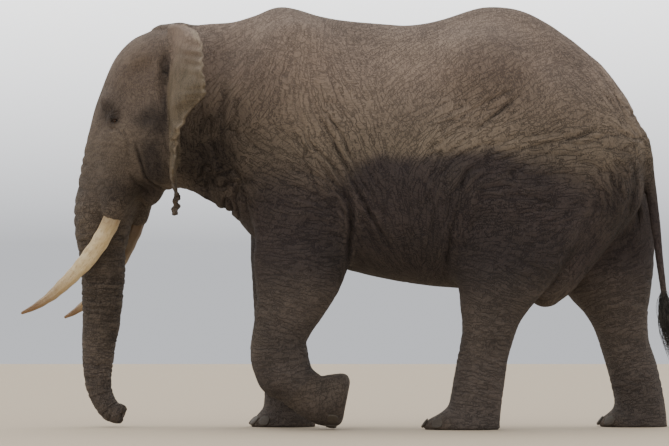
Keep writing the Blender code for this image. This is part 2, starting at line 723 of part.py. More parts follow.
# Each cut: the piece cut, the piece taken off, a point of the cut, the way the taken piece lies
PARTINGS = (
    ("body", "neck", (-0.84, 0.0, 2.4), (-1.0, 0.0, 0.06)),
    ("neck", "head", tuple(head_to_world((0.0, 0.0, 2.6))), (FRONT[0], FRONT[1], 0.126)),
    ("head", "trunk_upper", tuple(head_to_world((0.9, 0.0, 1.62))), (0.0, 0.0, -1.0)),
    ("head", "lower_jaw", tuple(head_to_world((0.59, 0.0, 1.70))), (-0.8 * FRONT[0], -0.8 * FRONT[1], -0.6)),
    ("trunk_upper", "trunk_middle", (-1.9, 0.3, 1.08), (0.0, 0.0, -1.0)),
    ("trunk_middle", "trunk_lower", (-1.9, 0.3, 0.62), (0.0, 0.0, -1.0)),
    ("trunk_lower", "trunk_tip", (-1.95, 0.3, 0.26), (0.5, 0.0, -0.86)),
    ("body", "legs", (0.0, 0.0, 0.93), (0.0, 0.0, -1.0)),
    ("legs", "fore_legs", (0.3, 0.0, 0.0), (-1.0, 0.0, 0.0)),
    ("fore_legs", "lower_fore_leg_left", (0.0, 0.0, 0.0), (0.0, -1.0, 0.0)),
    ("legs", "lower_hind_leg_left", (0.0, 0.0, 0.0), (0.0, -1.0, 0.0)),
    ("lower_fore_leg_left", "fore_foot_left", (-0.37, 0.0, 0.33), (0.9, 0.0, -0.43)),
    ("fore_legs", "fore_foot_right", (0.0, 0.0, 0.23), (0.0, 0.0, -1.0)),
    ("lower_hind_leg_left", "hind_foot_left", (0.0, 0.0, 0.26), (0.0, 0.0, -1.0)),
    ("legs", "hind_foot_right", (0.0, 0.0, 0.24), (0.0, 0.0, -1.0)),
    ("body", "rump", (0.82, 0.0, 2.0), (1.0, 0.0, 0.0)),
    ("body", "chest", (0.02, 0.0, 2.0), (-1.0, 0.0, 0.0)),
    ("chest", "upper_fore_leg_left", (0.0, -0.14, 1.30), (0.0, -0.909, -0.418)),
    ("chest", "upper_fore_leg_right", (0.0, 0.14, 1.30), (0.0, 0.909, -0.418)),
    ("rump", "thigh_left", (0.0, -0.17, 1.10), (0.0, -0.915, -0.403)),
    ("rump", "thigh_right", (0.0, 0.17, 1.10), (0.0, 0.915, -0.403)),
)
NEW_NAMES = {"body": "belly", "fore_legs": "lower_fore_leg_right", "legs": "lower_hind_leg_right"}


def part_the_body(whole):
    pieces = {"body": whole}
    for source, taken, place, faces in PARTINGS:
        both = pieces[source]
        pieces[taken] = half_of(both, place, faces)
        pieces[source] = half_of(both, place, [-c for c in faces])
        both.free()
    return {NEW_NAMES.get(name, name): piece for name, piece in pieces.items()}


def build():
    for old in list(bpy.data.objects):
        bpy.data.objects.remove(old)
    skin = material("elephant_skin", (0.16, 0.135, 0.115), 0.85)
    ear_skin = material("ear_skin", (0.21, 0.185, 0.155), 0.85)
    ivory = material("tusk_ivory", (0.66, 0.55, 0.38), 0.45)
    horn = material("toenail_horn", (0.30, 0.26, 0.20), 0.6)
    eye_brown = material("eye_brown", (0.035, 0.02, 0.012), 0.08)
    hair = material("tail_hair", (0.02, 0.018, 0.017), 0.5)

    places, quads = net(sample(flesh, BOX_LOW, BOX_HIGH, GRID), BOX_LOW, GRID)
    whole = new_object("whole", places, quads, skin)
    thin_out(whole, FLESH_TRIANGLES)
    work = bmesh.new()
    work.from_mesh(whole.data)
    bmesh.ops.triangulate(work, faces=work.faces)
    bpy.data.objects.remove(whole)
    standing = half_of(work, (0.0, 0.0, FLOOR - GAP / 2), (0.0, 0.0, 1.0))
    work.free()
    bodies = {}
    for name, piece in part_the_body(standing).items():
        mesh = bpy.data.meshes.new(name)
        piece.to_mesh(mesh)
        piece.free()
        mesh.materials.append(skin)
        bodies[name] = bpy.data.objects.new(name, mesh)
        bpy.context.scene.collection.objects.link(bodies[name])

    for side, which in ((-1, "left"), (1, "right")):
        made = ear(f"ear_{which}", side, ear_skin)
        for name in ("head", "neck", "lower_jaw"):
            cut_away(made, swollen(bodies[name], GAP))
    for side, which in ((-1, "left"), (1, "right")):
        tusk(f"tusk_{which}", side, ivory)
        for name in ("head", "trunk_upper"):
            cut_away(bodies[name], tusk("room", side, ivory, GAP))
        centre = eye_place(side)
        upright = Matrix.Identity(3)
        ball(f"eye_{which}", centre, (EYE_RADIUS,) * 3, upright, eye_brown, EYE_RINGS, EYE_SIDES)
        socket = ball("room", centre, (EYE_RADIUS + GAP,) * 3, upright, eye_brown, EYE_RINGS, EYE_SIDES)
        cut_away(bodies["head"], socket)
    tube("tail", TAIL, TAIL_SIDES, skin)
    cut_away(bodies["rump"], tube("room", TAIL, TAIL_SIDES, skin, GAP))
    tuft = tube("tail_tuft", TAIL_TUFT, TAIL_SIDES, hair)
    cut_away(tuft, tube("room", TAIL, TAIL_SIDES, skin, GAP))

    nails = lifted_nails()
    for foot, middle, angles in NAILS:
        nails += nails_of(foot, middle, angles)
    for name, place, turned in nails:
        foot = "_".join(name.split("_")[1:3])
        made = ball(name, place, NAIL_SIZE, turned, horn, NAIL_RINGS, NAIL_SIDES)
        body = bodies[foot.replace("fore_", "fore_foot_").replace("hind_", "hind_foot_")]
        cut_away(made, swollen(body, GAP))

    for body in bpy.data.objects:
        body.data.transform(Matrix.Translation(CENTRING))


build()
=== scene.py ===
# %% [markdown]
# # An old bull African bush elephant, walking
# The CAD frame gives the animal's parts at their real size. This script gives them their looks.
# One skin replaces all the nodes of flesh: it repeats the form that the solids were cut from, at a finer
# scale, and then adds what skin does: folds at each joint, rings on the trunk, lids, and a net of cracks.
# Lengths are metres. The bull faces -X, its left side is -Y, and the floor is z = 0.

import math

import bmesh
import bpy
import numpy as np
from mathutils import Matrix, Vector


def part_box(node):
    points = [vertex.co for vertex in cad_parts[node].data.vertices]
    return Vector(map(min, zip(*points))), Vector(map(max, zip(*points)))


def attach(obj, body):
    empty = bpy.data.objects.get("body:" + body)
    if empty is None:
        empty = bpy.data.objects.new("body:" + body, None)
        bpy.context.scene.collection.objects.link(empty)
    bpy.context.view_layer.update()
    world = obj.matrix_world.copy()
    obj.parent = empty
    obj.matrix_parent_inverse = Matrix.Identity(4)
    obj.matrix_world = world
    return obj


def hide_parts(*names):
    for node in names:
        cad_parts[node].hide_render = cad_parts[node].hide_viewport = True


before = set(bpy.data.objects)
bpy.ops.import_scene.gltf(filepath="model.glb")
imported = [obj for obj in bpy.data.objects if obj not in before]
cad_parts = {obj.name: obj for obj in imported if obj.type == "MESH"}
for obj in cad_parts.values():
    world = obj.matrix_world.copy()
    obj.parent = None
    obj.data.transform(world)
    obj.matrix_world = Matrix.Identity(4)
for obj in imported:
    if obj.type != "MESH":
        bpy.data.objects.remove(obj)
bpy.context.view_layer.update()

# %% [markdown]
# ## The form's numbers
# These are the stations and joints of the solids. A station is a slice of the barrel or the head. A joint is
# a place along a limb, with one radius seen from the side and one seen from the front.

# %%
FINE = 0.012     # size of the squares of the first skin
COARSE = 0.036                            # grid that finds the body's form
THIN = 0.012                              # grid that finds ears and tail, which are thin
SKIN_TRIANGLES = 194_000                  # a piece is kept under 200 000
FAR = 1.0
CENTRING = Vector((0.008, 0.132, 0.0))    # from the body's own axes to the frame's
BODY_BOX = ((-2.5, -1.1, -0.1), (2.7, 1.1, 3.5))
HEAD_PIVOT = (-1.10, 0.0)
HEAD_TURN = math.radians(21)
# height over the eye, half width, half thickness and tilt of each fold round it
LID_FOLDS = ((0.025, 0.040, 0.010, 0.2), (-0.025, 0.036, 0.008, 0.2), (0.050, 0.050, 0.009, 0.3),
             (-0.047, 0.042, 0.008, 0.0), (0.076, 0.058, 0.008, 0.4))
BACK_ROUND = 1.68
BELLY_ROUND = 2.15

BARREL = (
    (-1.48, 3.08, 2.03, 0.216, 2.50, 0.10),
    (-1.30, 3.15, 1.905, 0.299, 2.48, 0.06),
    (-1.10, 3.175, 1.775, 0.343, 2.44, 0.02),
    (-0.92, 3.19, 1.68, 0.382, 2.36, 0.0),
    (-0.76, 3.235, 1.50, 0.421, 2.26, 0.0),
    (-0.54, 3.305, 1.37, 0.475, 2.13, 0.0),
    (-0.25, 3.235, 1.29, 0.544, 2.05, 0.0),
    (0.10, 3.185, 1.21, 0.598, 1.98, 0.0),
    (0.42, 3.16, 1.145, 0.637, 1.95, 0.0),
    (0.70, 3.205, 1.11, 0.652, 1.95, 0.0),
    (1.05, 3.305, 1.09, 0.627, 1.98, 0.0),
    (1.38, 3.265, 1.10, 0.568, 2.02, 0.0),
    (1.74, 3.045, 1.26, 0.48, 2.08, 0.0),
    (2.04, 2.77, 1.52, 0.372, 2.10, 0.0),
    (2.22, 2.50, 1.72, 0.255, 2.10, 0.0),
    (2.32, 2.22, 1.92, 0.088, 2.06, 0.0),
)
HEAD = (
    (3.125, 0.48, 0.26, 0.11, 0.37, 0.0),
    (3.06, 0.645, 0.10, 0.23, 0.38, 0.0),
    (2.95, 0.765, 0.02, 0.30, 0.40, 0.0),
    (2.80, 0.86, 0.0, 0.34, 0.42, 0.0),
    (2.60, 0.95, 0.0, 0.345, 0.46, 0.0),
    (2.42, 1.005, 0.02, 0.34, 0.52, 0.0),
    (2.20, 1.06, 0.12, 0.315, 0.62, 0.0),
    (2.00, 1.105, 0.34, 0.28, 0.74, 0.0),
    (1.80, 1.135, 0.60, 0.25, 0.86, 0.0),
    (1.62, 1.135, 0.69, 0.22, 0.91, 0.0),
    (1.46, 1.11, 0.74, 0.185, 0.92, 0.0),
)
FORE_LEFT = (
    (-0.46, -0.30, 2.30, 0.34, 0.20),
    (-0.40, -0.35, 1.90, 0.36, 0.205),
    (-0.37, -0.355, 1.50, 0.365, 0.195),
    (-0.39, -0.365, 1.28, 0.355, 0.195),
    (-0.445, -0.375, 1.04, 0.285, 0.19),
    (-0.51, -0.38, 0.85, 0.232, 0.185),
    (-0.55, -0.385, 0.70, 0.212, 0.18),
    (-0.547, -0.385, 0.56, 0.225, 0.19),
    (-0.532, -0.385, 0.46, 0.213, 0.185),
)
FORE_LEFT_FOOT = (
    (-0.50, -0.385, 0.42, 0.185, 0.18),
    (-0.37, -0.38, 0.31, 0.170, 0.17),
    (-0.25, -0.375, 0.228, 0.180, 0.18),
    (-0.15, -0.37, 0.222, 0.200, 0.205),
    (-0.03, -0.365, 0.222, 0.212, 0.218),
)
LIFTED_SOLE = (-0.032, -0.365, 0.222)
LIFTED_SOLE_FACES = (0.985, 0.0, -0.174)
FORE_RIGHT = (
    (-0.46, 0.30, 2.30, 0.34, 0.20),
    (-0.42, 0.34, 1.90, 0.36, 0.205),
    (-0.42, 0.35, 1.50, 0.365, 0.195),
    (-0.45, 0.36, 1.20, 0.325, 0.19),
    (-0.52, 0.375, 0.90, 0.24, 0.185),
    (-0.555, 0.36, 0.68, 0.205, 0.18),
    (-0.56, 0.355, 0.50, 0.205, 0.19),
    (-0.515, 0.35, 0.34, 0.172, 0.175),
    (-0.510, 0.35, 0.20, 0.168, 0.175),
    (-0.515, 0.35, 0.09, 0.180, 0.19),
    (-0.525, 0.35, 0.03, 0.195, 0.20),
    (-0.525, 0.35, 0.0, 0.195, 0.20),
)
HIND_LEFT = (
    (1.42, -0.24, 2.35, 0.46, 0.27),
    (1.40, -0.31, 1.90, 0.47, 0.26),
    (1.32, -0.35, 1.58, 0.45, 0.245),
    (1.19, -0.375, 1.25, 0.355, 0.22),
    (1.115, -0.38, 1.00, 0.26, 0.20),
    (1.075, -0.38, 0.78, 0.205, 0.185),
    (1.035, -0.375, 0.58, 0.19, 0.17),
    (1.01, -0.37, 0.42, 0.195, 0.175),
    (0.985, -0.365, 0.26, 0.198, 0.180),
    (0.965, -0.36, 0.13, 0.205, 0.19),
    (0.950, -0.36, 0.05, 0.215, 0.20),
    (0.950, -0.36, 0.0, 0.215, 0.20),
)
HIND_RIGHT = (
    (1.66, 0.24, 2.30, 0.46, 0.27),
    (1.89, 0.31, 1.80, 0.495, 0.255),
    (1.99, 0.345, 1.40, 0.425, 0.23),
    (2.085, 0.365, 1.10, 0.300, 0.21),
    (2.14, 0.37, 0.86, 0.220, 0.19),
    (2.185, 0.36, 0.64, 0.19, 0.17),
    (2.245, 0.355, 0.44, 0.192, 0.175),
    (2.285, 0.35, 0.26, 0.192, 0.180),
    (2.300, 0.345, 0.12, 0.200, 0.19),
    (2.300, 0.345, 0.05, 0.210, 0.20),
    (2.300, 0.345, 0.0, 0.210, 0.20),
)
# low masses of a planted foot: the toes in front, the cushion behind
FOOT_PADS = (
    ((-0.605, 0.35, 0.01), (0.185, 0.185, 0.075)), ((-0.445, 0.35, 0.02), (0.165, 0.175, 0.10)),
    ((0.815, -0.36, 0.02), (0.245, 0.19, 0.11)), ((2.175, 0.345, 0.02), (0.205, 0.185, 0.10)),
)
CROTCH_FOLD = (
    (2.05, -0.06, 1.85, 0.24, 0.22),
    (1.83, -0.08, 1.52, 0.22, 0.20),
    (1.62, -0.09, 1.24, 0.20, 0.18),
    (1.53, -0.09, 1.10, 0.15, 0.15),
)
TAIL = (
    (2.17, 0.0, 2.36, 0.10, 0.11),
    (2.265, 0.0, 2.24, 0.085, 0.09),
    (2.325, 0.0, 2.06, 0.062, 0.065),
    (2.365, 0.0, 1.85, 0.045, 0.045),
    (2.405, 0.0, 1.55, 0.033, 0.032),
    (2.435, 0.0, 1.28, 0.028, 0.026),
    (2.465, 0.0, 1.05, 0.026, 0.022),
)
# The rest is in the head's own frame: u forward, v to the bull's right, z up
TRUNK = (
    (0.915, 0.0, 1.70, 0.205, 0.22),
    (0.925, 0.0, 1.52, 0.19, 0.195),
    (0.92, 0.0, 1.34, 0.178, 0.18),
    (0.915, 0.0, 1.16, 0.170, 0.17),
    (0.92, 0.0, 0.98, 0.160, 0.16),
    (0.935, 0.0, 0.78, 0.142, 0.143),
    (0.955, 0.0, 0.58, 0.124, 0.125),
    (0.96, 0.0, 0.42, 0.110, 0.112),
    (0.945, 0.0, 0.30, 0.098, 0.102),
    (0.905, 0.0, 0.20, 0.090, 0.096),
    (0.85, 0.0, 0.132, 0.084, 0.092),
    (0.80, 0.0, 0.108, 0.080, 0.088),
)
TUSK_SHEATH = (
    (0.62, -0.19, 2.20, 0.19, 0.15),
    (0.665, -0.215, 1.98, 0.15, 0.13),
    (0.70, -0.225, 1.80, 0.112, 0.108),
    (0.715, -0.228, 1.745, 0.095, 0.095),
)
LOWER_JAW = (
    (0.26, 0.0, 2.17, 0.20, 0.25),
    (0.38, 0.0, 2.07, 0.155, 0.20),
    (0.485, 0.0, 1.94, 0.105, 0.13),
    (0.510, 0.0, 1.84, 0.088, 0.085),
    (0.525, 0.0, 1.79, 0.055, 0.05),
)
TUSK = (
    (0.67, -0.216, 1.90, 0.066, 0.066),
    (0.727, -0.228, 1.68, 0.070, 0.070),
    (0.795, -0.245, 1.527, 0.068, 0.068),
    (0.892, -0.272, 1.37, 0.064, 0.064),
    (0.99, -0.303, 1.248, 0.058, 0.058),
    (1.09, -0.335, 1.14, 0.050, 0.050),
    (1.20, -0.365, 1.035, 0.039, 0.039),
    (1.325, -0.397, 0.95, 0.026, 0.026),
    (1.43, -0.417, 0.90, 0.012, 0.012),
)
TUSK_LIP = ((0.700, -0.222, 1.790, 0.094), (0.712, -0.225, 1.745, 0.096), (0.722, -0.227, 1.705, 0.091))
TUSK_DROOP = {"left": 0.0, "right": 0.04}
# Ear rows from the top down: z, root u, root v, width, opening in degrees
EAR = (
    (3.130, 0.225, -0.24, 0.36, 47),
    (3.085, 0.205, -0.25, 0.70, 48),
    (3.00, 0.19, -0.26, 0.93, 50),
    (2.85, 0.175, -0.275, 1.07, 52),
    (2.68, 0.165, -0.285, 1.10, 53),
    (2.54, 0.158, -0.29, 1.08, 54),
    (2.36, 0.145, -0.295, 1.00, 59),
    (2.15, 0.12, -0.305, 0.83, 61),
    (2.00, 0.11, -0.335, 0.62, 62),
    (1.88, 0.10, -0.365, 0.36, 62),
    (1.80, 0.095, -0.39, 0.14, 62),
)
# The left ear is torn away below the middle of its rim, down to a strip that hangs
EAR_LEFT = EAR[:1] + (
    (3.085, 0.205, -0.25, 0.60, 48),
    (3.00, 0.19, -0.26, 0.74, 50),
    (2.85, 0.18, -0.275, 0.89, 52),
    (2.68, 0.195, -0.285, 1.07, 53),
    (2.57, 0.200, -0.29, 1.07, 53.5),
    (2.52, 0.198, -0.29, 0.90, 55),
    (2.46, 0.192, -0.29, 0.74, 57),
    (2.36, 0.182, -0.295, 0.60, 60),
    (2.25, 0.172, -0.30, 0.45, 64),
    (2.14, 0.162, -0.31, 0.40, 66),
    (2.03, 0.170, -0.335, 0.42, 63.5),
    (1.95, 0.160, -0.355, 0.33, 63),
    (1.88, 0.142, -0.37, 0.20, 62),
    (1.80, 0.132, -0.39, 0.12, 62),
)
TORN_STRIP = ((1.74, 0.128, -0.40, 0.045, 62), (1.675, 0.136, -0.41, 0.02, 62))
EAR_BEND = 24
EAR_ROOT_THICK = 0.05
EAR_RIM_THICK = 0.018
EAR_COLUMNS = 11
print(len(BARREL), "barrel stations,", len(HEAD), "head stations")

# %% [markdown]
# ## Tools for the form
# Each shape is a field: a number for every point of space, negative inside and about the distance to the
# surface outside. Two fields join like clay if the smaller one is taken and the corner between them is
# filled. Here all of that is done for many points at once.

# %%
def head_to_world(place):
    u, v, z = place
    c, s = math.cos(HEAD_TURN), math.sin(HEAD_TURN)
    return Vector((HEAD_PIVOT[0] - u * c + v * s, HEAD_PIVOT[1] + u * s + v * c, z))


def world_to_head(points):
    c, s = math.cos(HEAD_TURN), math.sin(HEAD_TURN)
    x, y = points[:, 0] - HEAD_PIVOT[0], points[:, 1] - HEAD_PIVOT[1]
    return np.stack([y * s - x * c, y * c + x * s, points[:, 2]], axis=1)


def folded(points):
    """The same points with the second coordinate folded to its negative side."""
    one_side = points.copy()
    one_side[:, 1] = -np.abs(one_side[:, 1])
    return one_side


def smooth_min(a, b, width):
    share = np.clip(0.5 + 0.5 * (b - a) / width, 0.0, 1.0)
    return b + (a - b) * share - width * share * (1.0 - share)


def add(field, points, shape, width):
    distance, inside = shape(points, width)
    field[inside] = smooth_min(field[inside], distance, width)


def carve(field, points, shape, width):
    distance, inside = shape(points, width)
    field[inside] = -smooth_min(-field[inside], distance, width)


def near(points, low, high, margin):
    reach = margin + 0.09
    return np.all((points > np.asarray(low) - reach) & (points < np.asarray(high) + reach), axis=1)


def mass(centre, radii, pitch=0.0, yaw=0.0):
    """An ellipsoid of muscle or bone. Pitch turns it in the side view, yaw seen from above."""
    axes = np.array(Matrix.Rotation(yaw, 3, "Z") @ Matrix.Rotation(pitch, 3, "Y"))
    centre, radii = np.asarray(centre, float), np.asarray(radii, float)
    half = np.abs(axes) @ radii

    def shape(points, width):
        inside = near(points, centre - half, centre + half, width)
        local = (points[inside] - centre) @ axes
        k0 = np.linalg.norm(local / radii, axis=1)
        k1 = np.linalg.norm(local / radii**2, axis=1) + 1e-9
        return k0 * (k0 - 1.0) / k1, inside

    return shape


print("the head is turned by", round(math.degrees(HEAD_TURN)), "degrees")

# %% [markdown]
# ## Limbs and lofts
# A limb is round or oval along a smooth curve, and a loft runs through slices of its own height and width.

# %%
def smooth_row(rows, per_span=4):
    """Catmull-Rom points through rows of numbers, per_span to a span."""
    rows = np.asarray(rows, float)
    ends = np.vstack([2 * rows[0] - rows[1], rows, 2 * rows[-1] - rows[-2]])
    made = []
    for i in range(len(rows) - 1):
        a, b, c, d = ends[i : i + 4]
        for t in np.arange(per_span) / per_span:
            bend = (2 * a - 5 * b + 4 * c - d) * t**2 + (3 * b - a - 3 * c + d) * t**3
            made.append(0.5 * (2 * b + (c - a) * t + bend))
    return np.array([*made, rows[-1]])


def limb(joints, per_span=4, grow=0.0):
    """A limb through joints of x, y, z, radius seen from the side, radius seen from the front."""
    rows = smooth_row(joints, per_span)
    places, radii = rows[:, :3], rows[:, 3:] + grow

    def shape(points, width):
        reach = radii.max()
        inside = near(points, places.min(0) - reach, places.max(0) + reach, width)
        local = points[inside]
        best = np.full(len(local), FAR)
        for a, b, ra, rb in zip(places, places[1:], radii, radii[1:]):
            along = b - a
            t = np.clip((local - a) @ along / (along @ along), 0.0, 1.0)[:, None]
            off = local - (a + t * along)
            side = off[:, 1]
            fore = np.sqrt(np.maximum((off * off).sum(1) - side**2, 0.0))
            radius = ra + t * (rb - ra)
            k0 = np.hypot(fore / radius[:, 0], side / radius[:, 1])
            k1 = np.hypot(fore / radius[:, 0] ** 2, side / radius[:, 1] ** 2) + 1e-9
            best = np.minimum(best, k0 * (k0 - 1.0) / k1)
        return best, inside

    return shape


def loft(stations, along, rise):
    """A body lofted through stations of place, top, bottom, half-width, widest level and middle."""
    rows = smooth_row(stations, 8)
    rows = rows[np.argsort(rows[:, 0])]
    low, high = np.zeros(3), np.zeros(3)
    low[along], high[along] = rows[0, 0], rows[-1, 0]
    low[rise], high[rise] = rows[:, 2].min(), rows[:, 1].max()
    low[1], high[1] = -rows[:, 3].max(), rows[:, 3].max()

    def shape(points, width):
        inside = near(points, low, high, width)
        local = points[inside]
        place = np.clip(local[:, along], rows[0, 0], rows[-1, 0])
        top, bottom, half, level, middle = (np.interp(place, rows[:, 0], rows[:, k]) for k in range(1, 6))
        above = local[:, rise] > level
        height = np.where(above, top - level, level - bottom)
        power = np.where(above, BACK_ROUND, BELLY_ROUND)
        a = np.abs(local[:, 1] - middle) / half
        b = np.abs(local[:, rise] - level) / height
        ring = (a**power + b**power + 1e-12) ** (1.0 / power)
        across = (ring - 1.0) * np.minimum(half, height)
        beyond = np.abs(local[:, along] - place)
        return np.where(beyond > 0, np.hypot(np.maximum(across, 0.0), beyond), across), inside

    return shape


def half_space(place, faces):
    place, faces = np.asarray(place, float), np.asarray(faces, float)

    def shape(points, width):
        return (place - points) @ faces, np.full(len(points), True)

    return shape


print("the trunk's curve has", len(smooth_row(TRUNK)), "places")

# %% [markdown]
# ## The ears' form
# An ear is a thin bent sheet. Each of its heights has a start on the head, a width and a direction.

# %%
def ear_form(side, across=False, least_half=0.0):
    """An ear: a sheet that swings out from its root on the head, thick at the root and thin at the rim.

    Each height has its own curved line from root to rim. The rim wavers, and the left ear is torn.
    With across, it gives the share of the way from root to rim instead of the distance.
    """
    rows = smooth_row(EAR_LEFT + TORN_STRIP if side < 0 else EAR, 4)[::-1]
    low, high = np.array([-0.95, -1.25, rows[0, 0]]), np.array([0.45, 0.0, rows[-1, 0]])
    shares = np.linspace(0.0, 1.0, EAR_COLUMNS)

    def shape(points, width):
        one_side = points.copy()
        one_side[:, 1] *= -side
        inside = near(one_side, low, high, width)
        local = one_side[inside]
        z = np.clip(local[:, 2], rows[0, 0], rows[-1, 0])
        u0, v0, wide, opening = (np.interp(z, rows[:, 0], rows[:, k]) for k in range(1, 5))
        ragged = np.clip((2.80 - z) / 0.3, 0.0, 1.0) * np.clip((z - 1.85) / 0.1, 0.0, 1.0)
        notches = np.abs(np.sin(z * 31.0 + 4.0 * np.sin(z * 9.0))) * (0.6 + 0.4 * np.sin(z * 77.0))
        notches = notches + 0.35 * np.abs(np.sin(z * 120.0 + 3.0 * np.sin(z * 23.0)))
        wide = wide * (1.0 - (0.085 if side < 0 else 0.045) * ragged * notches)
        limp = np.clip((1.98 - z) / 0.12, 0.0, 1.0) if side < 0 else 0.0 * z
        wide = wide * (1.0 + 0.30 * limp * np.sin(z * 97.0 + 2.0 * np.sin(z * 31.0)))
        u0 = u0 + 0.007 * limp * np.sin(z * 71.0 + 1.5 * np.sin(z * 29.0))
        angles = np.radians(opening[:, None] + EAR_BEND * (0.5 - shares))
        step = (wide / (EAR_COLUMNS - 1))[:, None]
        u = u0[:, None] + np.concatenate([0 * step, np.cumsum(-np.cos(angles[:, :-1]) * step, 1)], 1)
        v = v0[:, None] + np.concatenate([0 * step, np.cumsum(-np.sin(angles[:, :-1]) * step, 1)], 1)
        level = z[:, None]
        lift = 0.020 * np.sin(7.5 * level + 5.0 * shares) + 0.013 * np.sin(17.0 * level - 7.0 * shares)
        lift = lift + 0.010 * shares * np.sin(43.0 * level + 4.0 * np.sin(11.0 * level) + 6.0 * shares)
        u = u + lift * shares * np.sin(angles)
        v = v - lift * shares * np.cos(angles)
        best, share = np.full(len(local), 9.0), np.zeros(len(local))
        for k in range(EAR_COLUMNS - 1):
            du, dv = u[:, k + 1] - u[:, k], v[:, k + 1] - v[:, k]
            t = ((local[:, 0] - u[:, k]) * du + (local[:, 1] - v[:, k]) * dv) / (du * du + dv * dv + 1e-12)
            t = np.clip(t, 0.0, 1.0)
            off = np.hypot(local[:, 0] - u[:, k] - t * du, local[:, 1] - v[:, k] - t * dv)
            closer = off < best
            best = np.where(closer, off, best)
            share = np.where(closer, (k + t) / (EAR_COLUMNS - 1), share)
        half = 0.5 * (EAR_ROOT_THICK + (EAR_RIM_THICK - EAR_ROOT_THICK) * share**0.6)
        half = half + 0.010 * np.clip((z - 2.86) / 0.2, 0.0, 1.0)
        half = half * np.clip(wide / 0.40, 0.42, 1.0)
        if across:
            return share, inside
        return np.hypot(best, local[:, 2] - z) - np.maximum(half, least_half), inside

    return shape


print("an ear has", len(EAR), "heights, and the torn one", len(EAR_LEFT + TORN_STRIP))

# %% [markdown]
# ## The form
# The torso is a loft with masses for the shoulder blade and the hip bone. The legs are limbs. The head is a
# loft with cheeks, brow ridges and hollow temples. The skin adds what the solids leave out: the lids round
# each eye, the lips round the tusks, and the two nostrils with the fingers at the trunk's tip.

# %%
# centre, radii, pitch and how softly it joins
TORSO_MASSES = (
    ((-0.50, -0.29, 2.50), (0.30, 0.20, 0.62), 0.15, 0.30),      # the shoulder blade
    ((1.06, -0.31, 2.78), (0.30, 0.22, 0.26), 0.0, 0.24),        # the hip bone
)
HEAD_MASSES = (
    ((0.34, -0.21, 2.22), (0.28, 0.14, 0.30), 0.0, 0.14),        # the cheek
    ((0.68, -0.225, 2.53), (0.15, 0.08, 0.055), -0.4, 0.10),     # the brow ridge
    ((0.24, -0.20, 2.86), (0.22, 0.13, 0.22), 0.0, 0.14),        # the side of the crown
)
TEMPLE = ((0.50, -0.44, 2.68), (0.20, 0.12, 0.22), 0.0, 0.14)
HOLLOWS = (
    ((0.47, -0.42, 2.80), (0.15, 0.13, 0.085), 0.25, 0.07),      # over the eye
    ((0.245, -0.42, 2.72), (0.045, 0.13, 0.22), -0.05, 0.06),    # before the ear
    ((0.39, -0.47, 2.43), (0.10, 0.12, 0.06), 0.0, 0.06),        # behind the eye
)


def eye_middle(side):
    """The middle of an eyeball in the body's own axes, where the CAD frame has it."""
    low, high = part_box("eye_left" if side < 0 else "eye_right")
    return (Vector(low) + Vector(high)) / 2 - CENTRING


def eye_in_head(side):
    place = np.array([eye_middle(side)])
    return world_to_head(place)[0]


def torso_form(field, points):
    both = folded(points)
    add(field, points, loft(BARREL, 0, 2), 0.05)
    for *shape, width in TORSO_MASSES:
        add(field, both, mass(*shape), width)
    add(field, points, limb(CROTCH_FOLD), 0.08)


def legs_form(field, points):
    add(field, points, limb(FORE_LEFT), 0.12)
    lifted = np.full(len(points), FAR)
    add(lifted, points, limb(FORE_LEFT_FOOT), 0.01)
    carve(lifted, points, half_space(LIFTED_SOLE, LIFTED_SOLE_FACES), 0.09)
    field[:] = smooth_min(field, lifted, 0.05)
    add(field, points, limb(FORE_RIGHT), 0.12)
    add(field, points, limb(HIND_LEFT), 0.12)
    add(field, points, limb(HIND_RIGHT), 0.14)
    for place, radii in FOOT_PADS:
        add(field, points, mass(place, radii), 0.10)


def lids_form(skull, local):
    """A pouch and two swollen lids round each eyeball, open in a narrow almond, with folds round them."""
    for side in (-1, 1):
        u, v, z = eye_in_head(side)
        add(skull, local, mass((u + 0.005, v - side * 0.012, z + 0.002), (0.070, 0.032, 0.056)), 0.03)
        add(skull, local, mass((u, v, z), (0.035, 0.031, 0.034)), 0.010)
        for rise, wide, tall, pitch in LID_FOLDS:
            place = (u + 0.004, v + side * (0.016 - 0.12 * abs(rise)), z + rise)
            add(skull, local, mass(place, (wide, 0.020, tall), pitch=pitch), 0.008)
        carve(skull, local, mass((u, v + side * 0.027, z - 0.002), (0.029, 0.022, 0.0125), pitch=0.22), 0.004)


def tip_form(skull, local):
    """The trunk's tip: cut flat, two nostrils, and a finger above and below them."""
    carve(skull, local, half_space((0.752, 0.0, 0.085), (-0.9, 0.0, -0.43)), 0.02)
    add(skull, local, mass((0.755, 0.0, 0.045), (0.05, 0.034, 0.022), pitch=-0.4), 0.03)
    add(skull, local, mass((0.745, 0.0, 0.150), (0.045, 0.030, 0.020), pitch=-0.4), 0.03)
    for side in (-1, 1):
        carve(skull, local, mass((0.755, side * 0.030, 0.093), (0.06, 0.019, 0.026), pitch=-0.45), 0.008)


